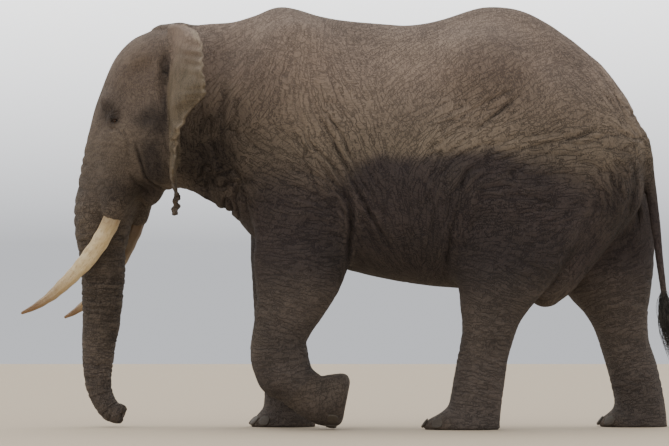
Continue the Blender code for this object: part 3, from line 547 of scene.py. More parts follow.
def head_form(field, points, details):
    local = world_to_head(points)
    both = folded(local)
    skull = np.full(len(points), FAR)
    add(skull, local, loft(HEAD, 2, 0), 0.02)
    for *shape, width in HEAD_MASSES:
        add(skull, both, mass(*shape), width)
    add(skull, both, limb(TUSK_SHEATH), 0.10)
    for *shape, width in (TEMPLE, *HOLLOWS) if details else (TEMPLE,):
        carve(skull, both, mass(*shape), width)
    add(skull, local, limb(LOWER_JAW), 0.06)
    add(skull, local, limb(TRUNK), 0.07)
    if details:
        for side, which in ((-1, "left"), (1, "right")):
            drop = TUSK_DROOP[which]
            lip = [(u, -side * v, z - drop, a, a) for u, v, z, a in TUSK_LIP]
            add(skull, local, limb(lip, 3), 0.02)
        lids_form(skull, local)
        tip_form(skull, local)
    field[:] = smooth_min(field, skull, 0.16)
    if details:
        for side in (-1, 1):
            add(field, local, ear_form(side), 0.05)
        add(field, points, limb(TAIL), 0.03)


def flesh(points, details=True):
    field = np.full(len(points), FAR)
    torso_form(field, points)
    legs_form(field, points)
    head_form(field, points, details)
    return np.maximum(field, -points[:, 2])


def plain_flesh(points):
    return flesh(points, details=False)


def slope_of(field, points, value, step=0.0015):
    """Which way the field rises at each point, and how steeply."""
    slope = np.empty_like(points)
    for axis in range(3):
        moved = points.copy()
        moved[:, axis] += step
        slope[:, axis] = (field(moved) - value) / step
    return slope


def unit(rows):
    """Rows of numbers, each made one long."""
    return rows / np.maximum(np.linalg.norm(rows, axis=1), 1e-6)[:, None]


def settle(points, field, rounds, reach=0.02):
    """Slides points onto the form."""
    for _ in range(rounds):
        value = field(points)
        slope = slope_of(field, points, value)
        steep = np.maximum((slope**2).sum(1), 0.05)
        points = points - slope * (np.clip(value, -reach, reach) / steep)[:, None]
    return points


print("left eye, in the head's frame:", np.round(eye_in_head(-1), 3))

# %% [markdown]
# ## From form to mesh
# A grid finds where the field changes sign, and puts one point in each cell that the skin runs through.
# The body needs only a coarse grid. Ears and tail are thin, so each gets a fine grid of its own. Then a voxel
# remesh fuses them into one closed mesh of even squares, and its points slide onto the exact form.

# %%
def sample(field, low, high, step):
    counts = [int(math.ceil((b - a) / step)) + 1 for a, b in zip(low, high)]
    axes = [a + step * np.arange(n) for a, n in zip(low, counts)]
    values = np.empty(counts)
    for i, x in enumerate(axes[0]):
        y, z = np.meshgrid(axes[1], axes[2], indexing="ij")
        points = np.stack([np.full(y.size, x), y.ravel(), z.ravel()], axis=1)
        values[i] = field(points).reshape(y.shape)
    return values


def net(values, low, step):
    """Surface nets: one point in each grid cell the skin runs through, one quad for each edge it cuts."""
    shape = np.array(values.shape)
    stride = np.array([shape[1] * shape[2], shape[2], 1])
    total = np.zeros((values.size, 3))
    count = np.zeros(values.size)
    rings = []
    for axis in range(3):
        first = np.take(values, range(shape[axis] - 1), axis)
        second = np.take(values, range(1, shape[axis]), axis)
        cut = np.argwhere((first < 0) != (second < 0))
        a, b = first[tuple(cut.T)], second[tuple(cut.T)]
        place = cut.astype(float)
        place[:, axis] += a / (a - b)
        j, k = stride[(axis + 1) % 3], stride[(axis + 2) % 3]
        cell = cut @ stride
        ring = np.stack([cell, cell - j, cell - j - k, cell - k], axis=1)
        for around in ring.T:
            count += np.bincount(around, minlength=values.size)
            for c in range(3):
                total[:, c] += np.bincount(around, place[:, c], values.size)
        ring[a < 0] = ring[a < 0, ::-1]
        rings.append(ring)
    used = np.flatnonzero(count)
    number = np.full(values.size, -1)
    number[used] = np.arange(len(used))
    places = total[used] / count[used, None] * step + np.asarray(low)
    return places, number[np.concatenate(rings)]


def new_mesh(name, points, faces):
    mesh = bpy.data.meshes.new(name)
    points = np.asarray(points, float)
    mesh.from_pydata(points.tolist(), [], [tuple(map(int, f)) for f in faces])
    return mesh


def new_object(name, mesh):
    made = bpy.data.objects.new(name, mesh)
    bpy.context.scene.collection.objects.link(made)
    return made


def outward(mesh):
    """Turns all faces to face outwards."""
    work = bmesh.new()
    work.from_mesh(mesh)
    bmesh.ops.recalc_face_normals(work, faces=work.faces)
    work.to_mesh(mesh)
    work.free()


def freeze(body):
    """Replaces a body's mesh by what its modifiers make of it."""
    bpy.context.view_layer.update()
    seen = body.evaluated_get(bpy.context.evaluated_depsgraph_get())
    made = bpy.data.meshes.new_from_object(seen)
    body.modifiers.clear()
    body.data = made


def places_of(mesh, key="co"):
    """Where a mesh's points are, or with the key "normal" which way they face."""
    flat = np.empty(len(mesh.vertices) * 3)
    mesh.vertices.foreach_get(key, flat)
    return flat.reshape(-1, 3)


def put_places(mesh, points):
    mesh.vertices.foreach_set("co", np.ascontiguousarray(points, dtype=float).ravel())
    mesh.update()


def alone(shape):
    """The field of one shape by itself."""

    def field(points):
        value = np.full(len(points), FAR)
        distance, inside = shape(points, 0.02)
        value[inside] = distance
        return value

    return field


# a remesh loses what is thinner than its squares, so the ears are a little thicker until they settle
LEAST_HALF = 1.15 * FINE
# shape, box, and whether it is in the head's frame
THIN_SHAPES = (
    (limb(TAIL), (2.0, -0.15, 0.98), (2.55, 0.15, 2.5), False),
    (ear_form(-1, least_half=LEAST_HALF), (-0.95, -1.3, 1.6), (0.45, 0.0, 3.22), True),
    (ear_form(1, least_half=LEAST_HALF), (-0.95, 0.0, 1.6), (0.45, 1.3, 3.22), True),
)
nets = [net(sample(plain_flesh, *BODY_BOX, COARSE), BODY_BOX[0], COARSE)]
for shape, low, high, in_head in THIN_SHAPES:
    points, quads = net(sample(alone(shape), low, high, THIN), low, THIN)
    nets.append((np.array([head_to_world(p) for p in points]) if in_head else points, quads))

skin = new_object("skin", bpy.data.meshes.new("skin"))
work = bmesh.new()
for points, quads in nets:
    part = new_mesh("part", points, quads)
    outward(part)
    work.from_mesh(part)
    bpy.data.meshes.remove(part)
work.to_mesh(skin.data)
work.free()
rule = skin.modifiers.new("fuse", "REMESH")
rule.mode = "VOXEL"
rule.voxel_size = FINE
rule.adaptivity = 0.0
freeze(skin)
print("fused skin:", len(skin.data.vertices), "points")

# %% [markdown]
# ## Sliding the skin onto the form
# The eyes, the lips round the tusks and the trunk's tip have the smallest shapes, so the squares there are
# split into smaller ones first.

# %%
def refine(body, middle, radius):
    """Splits the squares within a ball."""
    points = places_of(body.data)
    ends = np.empty(len(body.data.edges) * 2, dtype=np.int32)
    body.data.edges.foreach_get("vertices", ends)
    inside = np.linalg.norm(points - np.asarray(middle), axis=1) < radius
    chosen = np.flatnonzero(inside[ends].reshape(-1, 2).all(1))
    work = bmesh.new()
    work.from_mesh(body.data)
    work.edges.ensure_lookup_table()
    edges = [work.edges[i] for i in chosen]
    bmesh.ops.subdivide_edges(work, edges=edges, cuts=1, use_grid_fill=True)
    work.to_mesh(body.data)
    work.free()


# where the tusks come out, in the head's frame
LIPS = {-1: (0.725, -0.228, 1.685), 1: (0.725, 0.228, 1.645)}
put_places(skin.data, settle(places_of(skin.data), flesh, 2))
trunk_tip = head_to_world((0.77, 0.0, 0.09))
centres = [trunk_tip]
for side in (-1, 1):
    refine(skin, head_to_world(LIPS[side]), 0.15)
    refine(skin, eye_middle(side), 0.17)
    refine(skin, eye_middle(side), 0.085)
    centres += [eye_middle(side), head_to_world(LIPS[side])]
refine(skin, trunk_tip, 0.13)
places = places_of(skin.data)
fussy = np.min([np.linalg.norm(places - np.array(c), axis=1) for c in centres], axis=0) < 0.2
places[fussy] = settle(places[fussy], flesh, 4, reach=0.008)
ways = unit(slope_of(flesh, places, flesh(places)))
put_places(skin.data, places)
print("settled:", len(places), "points")

# %% [markdown]
# ## Noise
# Folds in skin never run straight or stay the same depth. One smooth noise, from a fixed table of random
# numbers, bends them and lets them fade.

# %%
TABLE = np.random.default_rng(7).random((64, 64, 64))


def noise(points, size):
    """Smooth noise between -1 and 1, with bumps about this many metres across."""
    scaled = points / size + 100.0
    base = np.floor(scaled).astype(int)
    part = scaled - base
    part = part * part * (3.0 - 2.0 * part)
    total = np.zeros(len(points))
    for corner in np.ndindex(2, 2, 2):
        share = np.ones(len(points))
        for axis in range(3):
            share *= part[:, axis] if corner[axis] else 1.0 - part[:, axis]
        cell = (base + corner) & 63
        total += share * TABLE[cell[:, 0], cell[:, 1], cell[:, 2]]
    return 2.0 * total - 1.0


def fade(value, low, high):
    """0 below low, 1 above high, and smooth between them."""
    t = np.clip((value - low) / (high - low), 0.0, 1.0)
    return t * t * (3.0 - 2.0 * t)


print("noise spans", noise(places[:5000], 0.1).min().round(2), noise(places[:5000], 0.1).max().round(2))

# %% [markdown]
# ## The skin's grain
# Fine wrinkles run along the lines on which skin folds. A table gives their slope at places along the bull's
# side, seen from its left, and the places between are blended. Round legs and trunk they run as rings.

# %%
# x, z, slope in degrees
GRAIN = (
    (-1.06, 2.89, 28), (-0.90, 3.01, 30), (-0.98, 2.65, 40), (-0.82, 2.77, 45), (-0.69, 2.93, 55),
    (-0.57, 2.97, 75), (-0.69, 2.57, 58), (-1.06, 2.42, 70), (-0.86, 2.38, 50), (-1.14, 2.18, -80),
    (-1.02, 2.06, -75), (-0.94, 1.87, -80), (-0.42, 2.73, -85), (-0.39, 2.50, -75), (-0.30, 2.26, -60),
    (-0.78, 2.34, -35), (-0.59, 2.18, -35), (-0.78, 2.03, -15), (-0.47, 1.99, -15), (-0.31, 2.10, -45),
    (-0.12, 1.91, -55), (-0.04, 1.67, -70), (-0.51, 1.75, -12), (-0.27, 1.75, -20), (-0.24, 1.59, 5),
    (-0.63, 1.48, -10), (-0.39, 1.52, 0), (-0.47, 1.28, -8), (0.04, 2.46, -65), (0.16, 2.26, -70),
    (0.47, 2.65, 45), (0.59, 2.42, 42), (0.43, 2.30, 42), (0.12, 1.87, -60), (0.27, 1.63, -60),
    (0.39, 1.48, -80), (0.39, 1.79, -85), (0.63, 1.55, -85), (0.24, 1.28, -80), (0.63, 1.28, 88),
    (0.78, 2.41, 25), (1.10, 2.47, 38), (0.89, 2.26, 33), (0.71, 2.06, 50), (0.61, 1.95, 70),
    (0.82, 1.67, 80), (0.76, 1.40, 84), (1.05, 2.10, 25), (1.42, 2.21, 10), (1.88, 2.32, 12),
    (1.47, 2.54, 40), (1.20, 1.99, 5), (1.68, 1.92, 8), (1.31, 1.77, -5), (1.75, 1.84, 3),
    (2.02, 1.95, -60), (2.01, 1.40, 52), (1.70, 1.36, 60), (1.08, 1.22, 15), (1.20, 1.40, 10),
    (2.17, 2.50, -60), (1.96, 2.65, -45), (2.28, 2.35, -20), (2.28, 2.09, 20), (2.20, 1.79, -80),
    (1.02, 1.55, 0), (1.41, 1.55, 8), (-1.57, 2.89, 20), (-1.88, 2.65, 60), (-1.57, 2.57, -80),
    (-1.73, 2.22, -25), (-1.96, 2.10, 0), (-1.81, 1.95, 5), (-1.53, 2.10, -75), (-1.45, 1.91, -60),
    (-1.65, 2.77, 0), (-2.00, 2.38, 10),
)
GRAIN_REACH = 0.13
LIMBS = (
    (FORE_LEFT, False), (FORE_LEFT_FOOT, False), (FORE_RIGHT, False),
    (HIND_LEFT, False), (HIND_RIGHT, False), (TRUNK, True), (TAIL, False),
)


def along_limb(points, joints):
    """How far down a limb each point lies, how far from its middle line in radii, and the limb's heading."""
    rows = smooth_row(joints, 4)
    at = np.concatenate([[0.0], np.cumsum(np.linalg.norm(np.diff(rows[:, :3], axis=0), axis=1))])
    best, place, heading = np.full(len(points), 9.0), np.zeros(len(points)), np.zeros((len(points), 3))
    for i in range(len(rows) - 1):
        a, b = rows[i, :3], rows[i + 1, :3]
        t = np.clip((points - a) @ (b - a) / ((b - a) @ (b - a)), 0.0, 1.0)
        off = np.linalg.norm(points - a - t[:, None] * (b - a), axis=1) / rows[i, 3]
        closer = off < best
        best = np.where(closer, off, best)
        place = np.where(closer, at[i] + t * (at[i + 1] - at[i]), place)
        heading[closer] = (b - a) / np.linalg.norm(b - a)
    return place, best, heading


def down_the_limb(points, local):
    """How far down its limb each point is, 1 where it is on one, and the limb's heading there."""
    place, share, heading = np.zeros(len(points)), np.zeros(len(points)), np.zeros((len(points), 3))
    for joints, in_head in LIMBS:
        own = local if in_head else points
        reach = np.asarray(joints)[:, :3]
        box = np.flatnonzero(near(own, reach.min(0), reach.max(0), 0.2))
        at, off, ahead = along_limb(own[box], joints)
        if in_head:
            c, s = math.cos(HEAD_TURN), math.sin(HEAD_TURN)
            forward, aside, rise = ahead.T
            ahead = np.stack([aside * s - forward * c, forward * s + aside * c, rise], axis=1)
        top = min(1.7, reach[:, 2].max())
        here = (1.0 - fade(off, 1.05, 1.3)) * (1.0 - fade(own[box][:, 2], top - 0.5, top - 0.1))
        better = here > share[box]
        place[box[better]] = at[better]
        heading[box[better]] = ahead[better]
        share[box[better]] = here[better]
    return place, share, heading


def patch(points, side, x, z, reach_x, reach_z):
    share = fade(-np.hypot((points[:, 0] - x) / reach_x, (points[:, 2] - z) / reach_z), -1.2, -0.6)
    return share * fade(side * points[:, 1], -0.05, 0.05) if side else share


def grain(points, ways, local):
    """The way fine wrinkles run at each point, along the skin."""
    total = np.zeros((len(points), 2))
    for x, z, slope in GRAIN:
        share = np.exp(-((points[:, 0] - x) ** 2 + (points[:, 2] - z) ** 2) / (2 * GRAIN_REACH**2)) + 1e-6
        turn = 2.0 * math.radians(slope)
        total += share[:, None] * np.array([math.cos(turn), math.sin(turn)])
    slope = 0.5 * np.arctan2(total[:, 1], total[:, 0])
    run = np.stack([np.cos(slope), np.zeros(len(points)), np.sin(slope)], axis=1)
    share, heading = down_the_limb(points, local)[1:]
    around = np.cross(heading, ways)
    around *= np.where((around * run).sum(1) < 0.0, -1.0, 1.0)[:, None]
    run = run * (1.0 - share)[:, None] + around * share[:, None]
    run -= ways * (run * ways).sum(1)[:, None]
    under = fade(-ways[:, 2], 0.1, 0.55) * patch(points, 0, -1.10, 1.85, 0.55, 0.45) * (1.0 - share)
    run = run * (1.0 - under)[:, None] + under[:, None] * np.array([0.15, 1.0, 0.0])
    level = np.cross(ways, (0.0, 0.0, 1.0))
    level *= np.where((level * run).sum(1) < 0.0, -1.0, 1.0)[:, None]
    run += level * (0.6 * (1.0 - np.linalg.norm(run, axis=1)))[:, None]
    return unit(run)


def streaks(points, run, size, reach):
    """Noise drawn out along the grain."""
    steps = np.linspace(-1.0, 1.0, 7)
    return sum(noise(points + run * (step * reach), size) for step in steps) / len(steps)


run = grain(places, ways, world_to_head(places))
print("grain set at", len(run), "points")

# %% [markdown]
# ## Folds
# Loose skin folds along its grain: behind the shoulder, down the neck and throat, before and over the thigh,
# beside the tail. On legs and trunk the folds are rings. A few deep creases have places of their own. Between
# two creases the skin is a soft pad, so each pattern is rounded above and sharp below.

# %%
# side (-1 left, 1 right, 0 both), patch middle x, z and reach x, z, width of a fold, depth
SLACK = (
    (0, -0.12, 2.05, 0.42, 0.75, 0.080, 0.0095),     # behind the shoulder
    (0, -1.02, 2.15, 0.36, 0.60, 0.080, 0.0120),     # the neck and throat
    (0, -1.12, 1.84, 0.46, 0.26, 0.080, 0.0340),
    (0, -0.65, 2.60, 0.40, 0.40, 0.065, 0.0035),
    (0, -0.42, 1.75, 0.36, 0.42, 0.065, 0.0055),     # the shoulder's net
    (-1, 0.98, 2.02, 0.52, 0.66, 0.080, 0.0110),     # the flank, before the thigh
    (1, 1.40, 2.02, 0.52, 0.66, 0.080, 0.0110),
    (-1, 1.65, 1.98, 0.62, 0.42, 0.075, 0.0110),     # over the thigh
    (1, 1.90, 1.98, 0.50, 0.42, 0.075, 0.0110),
    (0, 2.12, 2.20, 0.28, 0.55, 0.075, 0.0130),      # beside the tail
    (-1, 1.70, 1.35, 0.50, 0.42, 0.070, 0.0060),     # down the thigh
    (1, 2.00, 1.35, 0.40, 0.42, 0.070, 0.0060),
    (0, 0.45, 1.45, 0.60, 0.45, 0.075, 0.0050),      # the belly's side
)
# limb, in the head's frame or not, from height, to height, spacing, depth
RING_FOLDS = (
    (FORE_LEFT, False, 0.42, 1.55, 0.060, 0.0045),
    (FORE_LEFT, False, 0.42, 0.72, 0.080, 0.0080),
    (FORE_LEFT_FOOT, False, 0.00, 0.60, 0.065, 0.0050),
    (FORE_RIGHT, False, 0.14, 1.55, 0.060, 0.0045),
    (FORE_RIGHT, False, 0.28, 0.55, 0.075, 0.0070),
    (HIND_LEFT, False, 0.14, 1.10, 0.065, 0.0050),
    (HIND_LEFT, False, 0.30, 0.85, 0.090, 0.0070),
    (HIND_RIGHT, False, 0.14, 1.10, 0.065, 0.0050),
    (HIND_RIGHT, False, 0.85, 1.45, 0.090, 0.0090),
    (HIND_RIGHT, False, 0.25, 0.50, 0.080, 0.0070),
    (TRUNK, True, 0.00, 1.85, 0.050, 0.0125),
    (TRUNK, True, 0.95, 1.70, 0.110, 0.0100),
)
# The same along arcs in the head's frame: side, patch u, z, reach u, z, centre of the arcs u, z,
# spacing, depth, waver
HEAD_FOLDS = (
    (0, 1.10, 1.90, 0.15, 0.52, 1.00, -6.0, 0.095, 0.012, 0.60),      # ridges down the trunk's root
    (0, 0.64, 2.26, 0.16, 0.16, 0.68, 2.46, 0.040, 0.0045, 0.40),     # under the eye
    (0, 0.36, 2.55, 0.12, 0.25, 4.00, 2.20, 0.060, 0.004, 0.60),      # the temple
    (0, 0.38, 2.10, 0.18, 0.25, 3.00, 3.80, 0.065, 0.007, 0.50),      # the cheek
    (0, 0.78, 2.00, 0.22, 0.30, 0.9, 7.00, 0.055, 0.003, 0.60),
    (0, 0.30, 1.93, 0.18, 0.20, -5.0, 2.20, 0.080, 0.014, 0.60),      # the jaw
)
# in the head's frame or not, side, width, depth, then places x, z along the crease
CREASES = (
    (False, 0, 0.016, 0.013, ((-0.42, 2.65), (-0.37, 2.35), (-0.27, 2.17), (-0.13, 2.03), (0.01, 1.77),
                              (0.03, 1.55), (0.11, 1.39))),      # behind the shoulder
    (False, 0, 0.016, 0.014, ((-0.29, 2.57), (-0.17, 2.31), (-0.05, 2.07), (0.03, 1.91), (0.11, 1.75),
                              (0.23, 1.55), (0.35, 1.35))),
    (False, 0, 0.018, 0.024, ((-0.31, 2.17), (-0.17, 1.97), (-0.05, 1.83), (0.00, 1.63), (-0.01, 1.39),
                              (-0.03, 1.23))),      # behind the elbow
    (False, 0, 0.014, 0.010, ((-0.23, 1.97), (-0.09, 1.77), (-0.04, 1.55))),
    (False, 0, 0.014, 0.010, ((-0.27, 2.55), (-0.11, 2.35), (0.03, 2.07), (0.15, 1.83))),
    (False, -1, 0.014, 0.008, ((0.55, 2.31), (0.88, 2.44), (1.16, 2.60), (1.31, 2.66))),
    (False, -1, 0.015, 0.011, ((0.68, 2.05), (0.92, 2.27), (1.18, 2.49), (1.33, 2.62))),
    (False, 1, 0.015, 0.011, ((1.08, 2.05), (1.32, 2.27), (1.52, 2.49), (1.62, 2.62))),
    (False, -1, 0.022, 0.017, ((0.75, 1.18), (0.77, 1.44), (0.83, 1.70), (0.88, 1.96), (0.97, 2.06))),
    (False, 1, 0.017, 0.022, ((1.30, 1.18), (1.30, 1.44), (1.35, 1.70), (1.40, 1.96), (1.48, 2.06))),
    (False, -1, 0.018, 0.009, ((0.92, 1.97), (1.12, 2.14), (1.42, 2.20), (1.68, 2.26), (1.95, 2.33),
                               (2.12, 2.36))),      # over the thigh
    (False, 1, 0.015, 0.013, ((1.50, 1.99), (1.62, 2.14), (1.80, 2.22), (1.98, 2.30), (2.12, 2.36))),
    (False, -1, 0.014, 0.010, ((0.61, 1.40), (0.66, 1.70), (0.75, 1.96))),
    (False, -1, 0.026, 0.016, ((2.16, 2.18), (2.22, 1.96), (2.20, 1.75), (2.07, 1.50), (1.88, 1.26),
                               (1.75, 1.08))),      # from tail to flap
    (False, 1, 0.018, 0.022, ((2.16, 2.18), (2.23, 1.96), (2.26, 1.75), (2.28, 1.55))),
    (False, -1, 0.026, 0.011, ((1.90, 1.90), (1.92, 1.74), (1.86, 1.62), (1.75, 1.42), (1.62, 1.20),
                               (1.52, 1.02))),
    (False, -1, 0.020, 0.006, ((1.51, 1.77), (1.77, 1.83), (1.92, 1.84))),
    (False, 0, 0.014, 0.009, ((1.86, 2.95), (1.99, 2.73), (2.12, 2.49), (2.16, 2.27))),
    (False, 0, 0.014, 0.013, ((2.16, 2.42), (2.27, 2.47), (2.36, 2.45))),
    (False, 0, 0.014, 0.013, ((2.08, 2.33), (2.21, 2.27), (2.36, 2.29))),
    (True, 0, 0.014, 0.016, ((0.50, 2.30), (0.455, 2.12), (0.42, 1.95), (0.36, 1.83))),      # the cheek
    (True, 0, 0.012, 0.008, ((0.60, 2.36), (0.56, 2.28), (0.54, 2.18), (0.56, 2.06))),
    (True, 0, 0.011, 0.007, ((0.72, 2.35), (0.64, 2.33), (0.56, 2.25))),
    (True, 0, 0.014, 0.012, ((0.56, 2.02), (0.52, 1.93), (0.50, 1.84), (0.53, 1.76))),      # the mouth
)
print(len(SLACK), "slack places,", len(RING_FOLDS), "rows of rings,", len(CREASES), "creases")

# %% [markdown]
# ## Shaping the folds
# Each pattern gives a height above the form, weighted by where it belongs. The heights are added up and the
# skin's points move out by their sum.

# %%
def pads(phase, spacing):
    """One crease per spacing: near 0 on the soft pads between creases, -1 down in a crease."""
    return np.abs(np.sin(np.pi * phase / spacing)) ** 0.6 - 1.0


def slack_folds(points, run):
    """The depth of the folds that follow the grain, and how slack the skin is there."""
    total, slack = np.zeros(len(points)), np.zeros(len(points))
    for size in sorted({row[5] for row in SLACK}):
        rows = [row for row in SLACK if row[5] == size]
        depth = np.zeros(len(points))
        for side, x, z, reach_x, reach_z, _, most in rows:
            depth = np.maximum(depth, most * patch(points, side, x, z, reach_x, reach_z))
        box = depth > 1e-5
        value = streaks(points[box], run[box], size, 1.9 * size)
        total[box] += depth[box] * (np.minimum(np.abs(value) / 0.20, 1.0) ** 0.7 - 0.65)
        slack = np.maximum(slack, np.minimum(1.0, depth / 0.009))
    return total, slack


def arc_folds(points, table):
    total = np.zeros(len(points))
    strength = 0.65 + 0.45 * noise(points + 9.0, 0.30)
    for side, x, z, reach_x, reach_z, about_x, about_z, spacing, depth, waver in table:
        phase = np.hypot(points[:, 0] - about_x, points[:, 2] - about_z)
        phase = phase + waver * spacing * (noise(points, 0.28) + 0.5 * noise(points + 5.0, 0.11))
        share = patch(points, side, x, z, reach_x, reach_z)
        total += share * strength * depth * (pads(phase, spacing) + 0.35)
    return total


def ring_folds(points, local):
    total = np.zeros(len(points))
    for joints, in_head, low, high, spacing, depth in RING_FOLDS:
        own = local if in_head else points
        reach = np.asarray(joints)[:, :3]
        box = near(own, reach.min(0), reach.max(0), 0.25)
        some = own[box]
        place, off = along_limb(some, joints)[:2]
        share = fade(some[:, 2], low, low + 0.08) * (1.0 - fade(some[:, 2], high - 0.25, high))
        share = share * (1.0 - fade(off, 1.12, 1.35)) * (0.7 + 0.5 * noise(some + 3.0, 0.2))
        wander = spacing * (1.0 * noise(some, 0.30) + 0.6 * noise(some + 5.0, 0.12))
        total[box] += share * depth * (pads(place + wander, spacing) + 0.35)
    return total


def creases(points, local):
    """The height of the creases' sides, the signed distance from the nearest crease, and its strength."""
    total, nearest = np.zeros(len(points)), np.full(len(points), 9.0)
    signed, deepest = np.zeros(len(points)), np.zeros(len(points))
    for in_head, side, width, depth, path in CREASES:
        own = local if in_head else points
        own = own + 0.012 * np.stack([noise(points + k, 0.12) for k in (0.0, 3.0, 6.0)], axis=1)
        path = smooth_row(path, 5)
        off, share, turn = np.full(len(points), 9.0), np.zeros(len(points)), np.zeros(len(points))
        for i in range(len(path) - 1):
            a, way = path[i], path[i + 1] - path[i]
            x, z = own[:, 0] - a[0], own[:, 2] - a[1]
            t = np.clip((x * way[0] + z * way[1]) / (way @ way), 0.0, 1.0)
            gap = np.hypot(x - t * way[0], z - t * way[1])
            closer = gap < off
            off = np.where(closer, gap, off)
            turn = np.where(closer, np.sign(way[0] * z - way[1] * x), turn)
            share = np.where(closer, (i + t) / (len(path) - 1), share)
        strength = np.minimum(1.0, 5.0 * share * (1.0 - share)) * (0.75 + 0.5 * noise(points + 7.0, 0.22))
        if side:
            strength = strength * fade(side * own[:, 1], -0.02, 0.06)
        if in_head:
            strength = strength * fade(local[:, 0], -0.02, 0.10)
        lips = 0.40 * np.exp(-(((off - 2.2 * width) / (1.4 * width)) ** 2))
        total += strength * depth * (lips - np.exp(-((off / width) ** 2)))
        closer = (off < nearest) & (strength > 0.05)
        nearest = np.where(closer, off, nearest)
        signed = np.where(closer, off * turn, signed)
        deepest = np.where(closer, strength * min(1.0, depth / 0.016), deepest)
    return total, np.where(nearest > 0.06, 0.06, signed), np.minimum(nearest, 0.06), deepest


def on_ear(local):
    """1 on the ears, 0 elsewhere."""
    share = np.zeros(len(local))
    for side in (-1, 1):
        distance, inside = ear_form(side)(local, 0.02)
        share[inside] = np.maximum(share[inside], 1.0 - fade(distance, 0.004, 0.03))
    return share


def across_ear(local):
    """The share of the way from an ear's root to its rim."""
    across = np.zeros(len(local))
    for side in (-1, 1):
        share, inside = ear_form(side, across=True)(local, 0.02)
        across[inside] = np.maximum(across[inside], share * (side * local[inside][:, 1] > -0.1))
    return across


def calm(points):
    """0 at the eyes and the lips round the tusks, where no fold may reach, and 1 away from them."""
    share = np.ones(len(points))
    for side in (-1, 1):
        for middle, low, high in ((eye_middle(side), 0.06, 0.11), (head_to_world(LIPS[side]), 0.10, 0.17)):
            share = np.minimum(share, fade(np.linalg.norm(points - np.array(middle), axis=1), low, high))
    return share


def fold_height(points, ears, run):
    """How far the skin stands out of the form, in metres."""
    local = world_to_head(points)
    head = fade(local[:, 0], -0.02, 0.12) * (1.0 - ears)
    body = (1.0 - head) * (1.0 - ears)
    height = body * slack_folds(points, run)[0] + head * arc_folds(local, HEAD_FOLDS)
    height = height + (1.0 - ears) * (ring_folds(points, local) + creases(points, local)[0])
    swell = 0.006 * noise(points, 0.33) + 0.003 * noise(points + 4.0, 0.13)
    veins = 0.005 * np.abs(noise(local * (1.0, 1.0, 0.4), 0.10)) + 0.006 * noise(local, 0.16)
    height = (height + swell * (1.0 - ears) + veins * ears) * calm(points)
    return height * fade(points[:, 2], 0.0, 0.06)


ears = on_ear(world_to_head(places))
height = fold_height(places, ears, run)
put_places(skin.data, places + ways * height[:, None])
print("folds from", height.min().round(4), "to", height.max().round(4), "m")

# %% [markdown]
# ## Thinning
# The mesh is thinned where it is smooth, and keeps its points where it folds.

# %%
def triangles_of(mesh):
    mesh.calc_loop_triangles()
    return len(mesh.loop_triangles)


rule = skin.modifiers.new("thin", "DECIMATE")
rule.ratio = min(1.0, SKIN_TRIANGLES / triangles_of(skin.data))
rule.use_collapse_triangulate = True
freeze(skin)
outward(skin.data)
places = places_of(skin.data)
print("skin:", triangles_of(skin.data), "triangles")

# %% [markdown]
# ## What each part of the skin is like
# The material reads a few numbers that each point of the skin carries: the way its grain runs, how deep in a
# fold it lies, how slack and how wet it is, whether it is ear, and how dark it is made. That darkness is dark
# skin round the eye, at the gland and on the trunk, and painted shade and painted shadow in the hollow before
# the ear, on the cheek and jaw, on the throat and the neck under the ear, and on the belly; the buttock is
# made darker too.

# %%
# in the head's frame or not, middle, reach, strength: places that are darker than the rest. Some are dark
# skin, the rest are painted shade and painted shadow
DARK_SKIN_AND_SHADE_PATCHES = (
    (True, (0.745, -0.30, 2.462), (0.150, 0.22, 0.125), 0.74),      # before and over the eye: dark skin, partly painted shade
    (True, (0.690, -0.33, 2.425), (0.075, 0.12, 0.060), 0.95),      # the lids' edges: dark skin and the lids' painted shadow
    (True, (0.370, -0.36, 2.43), (0.185, 0.25, 0.125), 0.80),       # the gland behind the eye, with painted shade in the hollow there
    (True, (0.300, -0.36, 2.38), (0.120, 0.25, 0.130), 0.80),
    (True, (0.235, -0.34, 2.78), (0.060, 0.20, 0.210), 0.95),       # the hollow before the ear: painted shadow under the ear's front edge
    (True, (0.240, -0.34, 2.55), (0.050, 0.20, 0.200), 0.80),
    (True, (0.36, -0.30, 2.04), (0.170, 0.25, 0.330), 0.90),        # the cheek and the jaw: painted shade
    (True, (0.45, -0.20, 1.86), (0.160, 0.25, 0.180), 0.95),
    (True, (0.66, -0.28, 1.84), (0.220, 0.30, 0.110), 0.60),        # above the tusk
    (True, (0.93, 0.0, 1.30), (0.30, 0.30, 0.62), 0.58),            # the trunk
    (False, (-1.06, -0.2, 2.12), (0.34, 0.60, 0.50), 0.90),         # the throat and the neck's side: painted shade, and the ear's painted shadow
    (False, (-0.78, -0.2, 1.90), (0.26, 0.60, 0.42), 0.50),
    (False, (2.12, -0.2, 1.75), (0.26, 0.60, 0.42), 0.60),          # the buttock
    (False, (0.30, -0.4, 1.36), (0.75, 0.70, 0.30), 0.50),          # the belly: painted shade underneath
)
TIDE = 2.17          # level that the mud and water reached on the flank


# How dark each point is made: dark skin, with painted shade and painted shadow
def dark_skin_and_shade_of(points, local):
    total = np.zeros(len(points))
    for in_head, middle, reach, strength in DARK_SKIN_AND_SHADE_PATCHES:
        own = folded(local if in_head else points)
        off = np.linalg.norm((own - np.array(middle)) / np.array(reach), axis=1)
        total = np.maximum(total, strength * (1.0 - fade(off + 0.25 * noise(points, 0.12), 0.2, 1.35)))
    return total


def carry(mesh, name, values):
    flat = np.asarray(values, dtype=np.float32)
    kind, key = ("FLOAT_VECTOR", "vector") if flat.ndim == 2 else ("FLOAT", "value")
    mesh.attributes.new(name, kind, "POINT").data.foreach_set(key, flat.ravel())


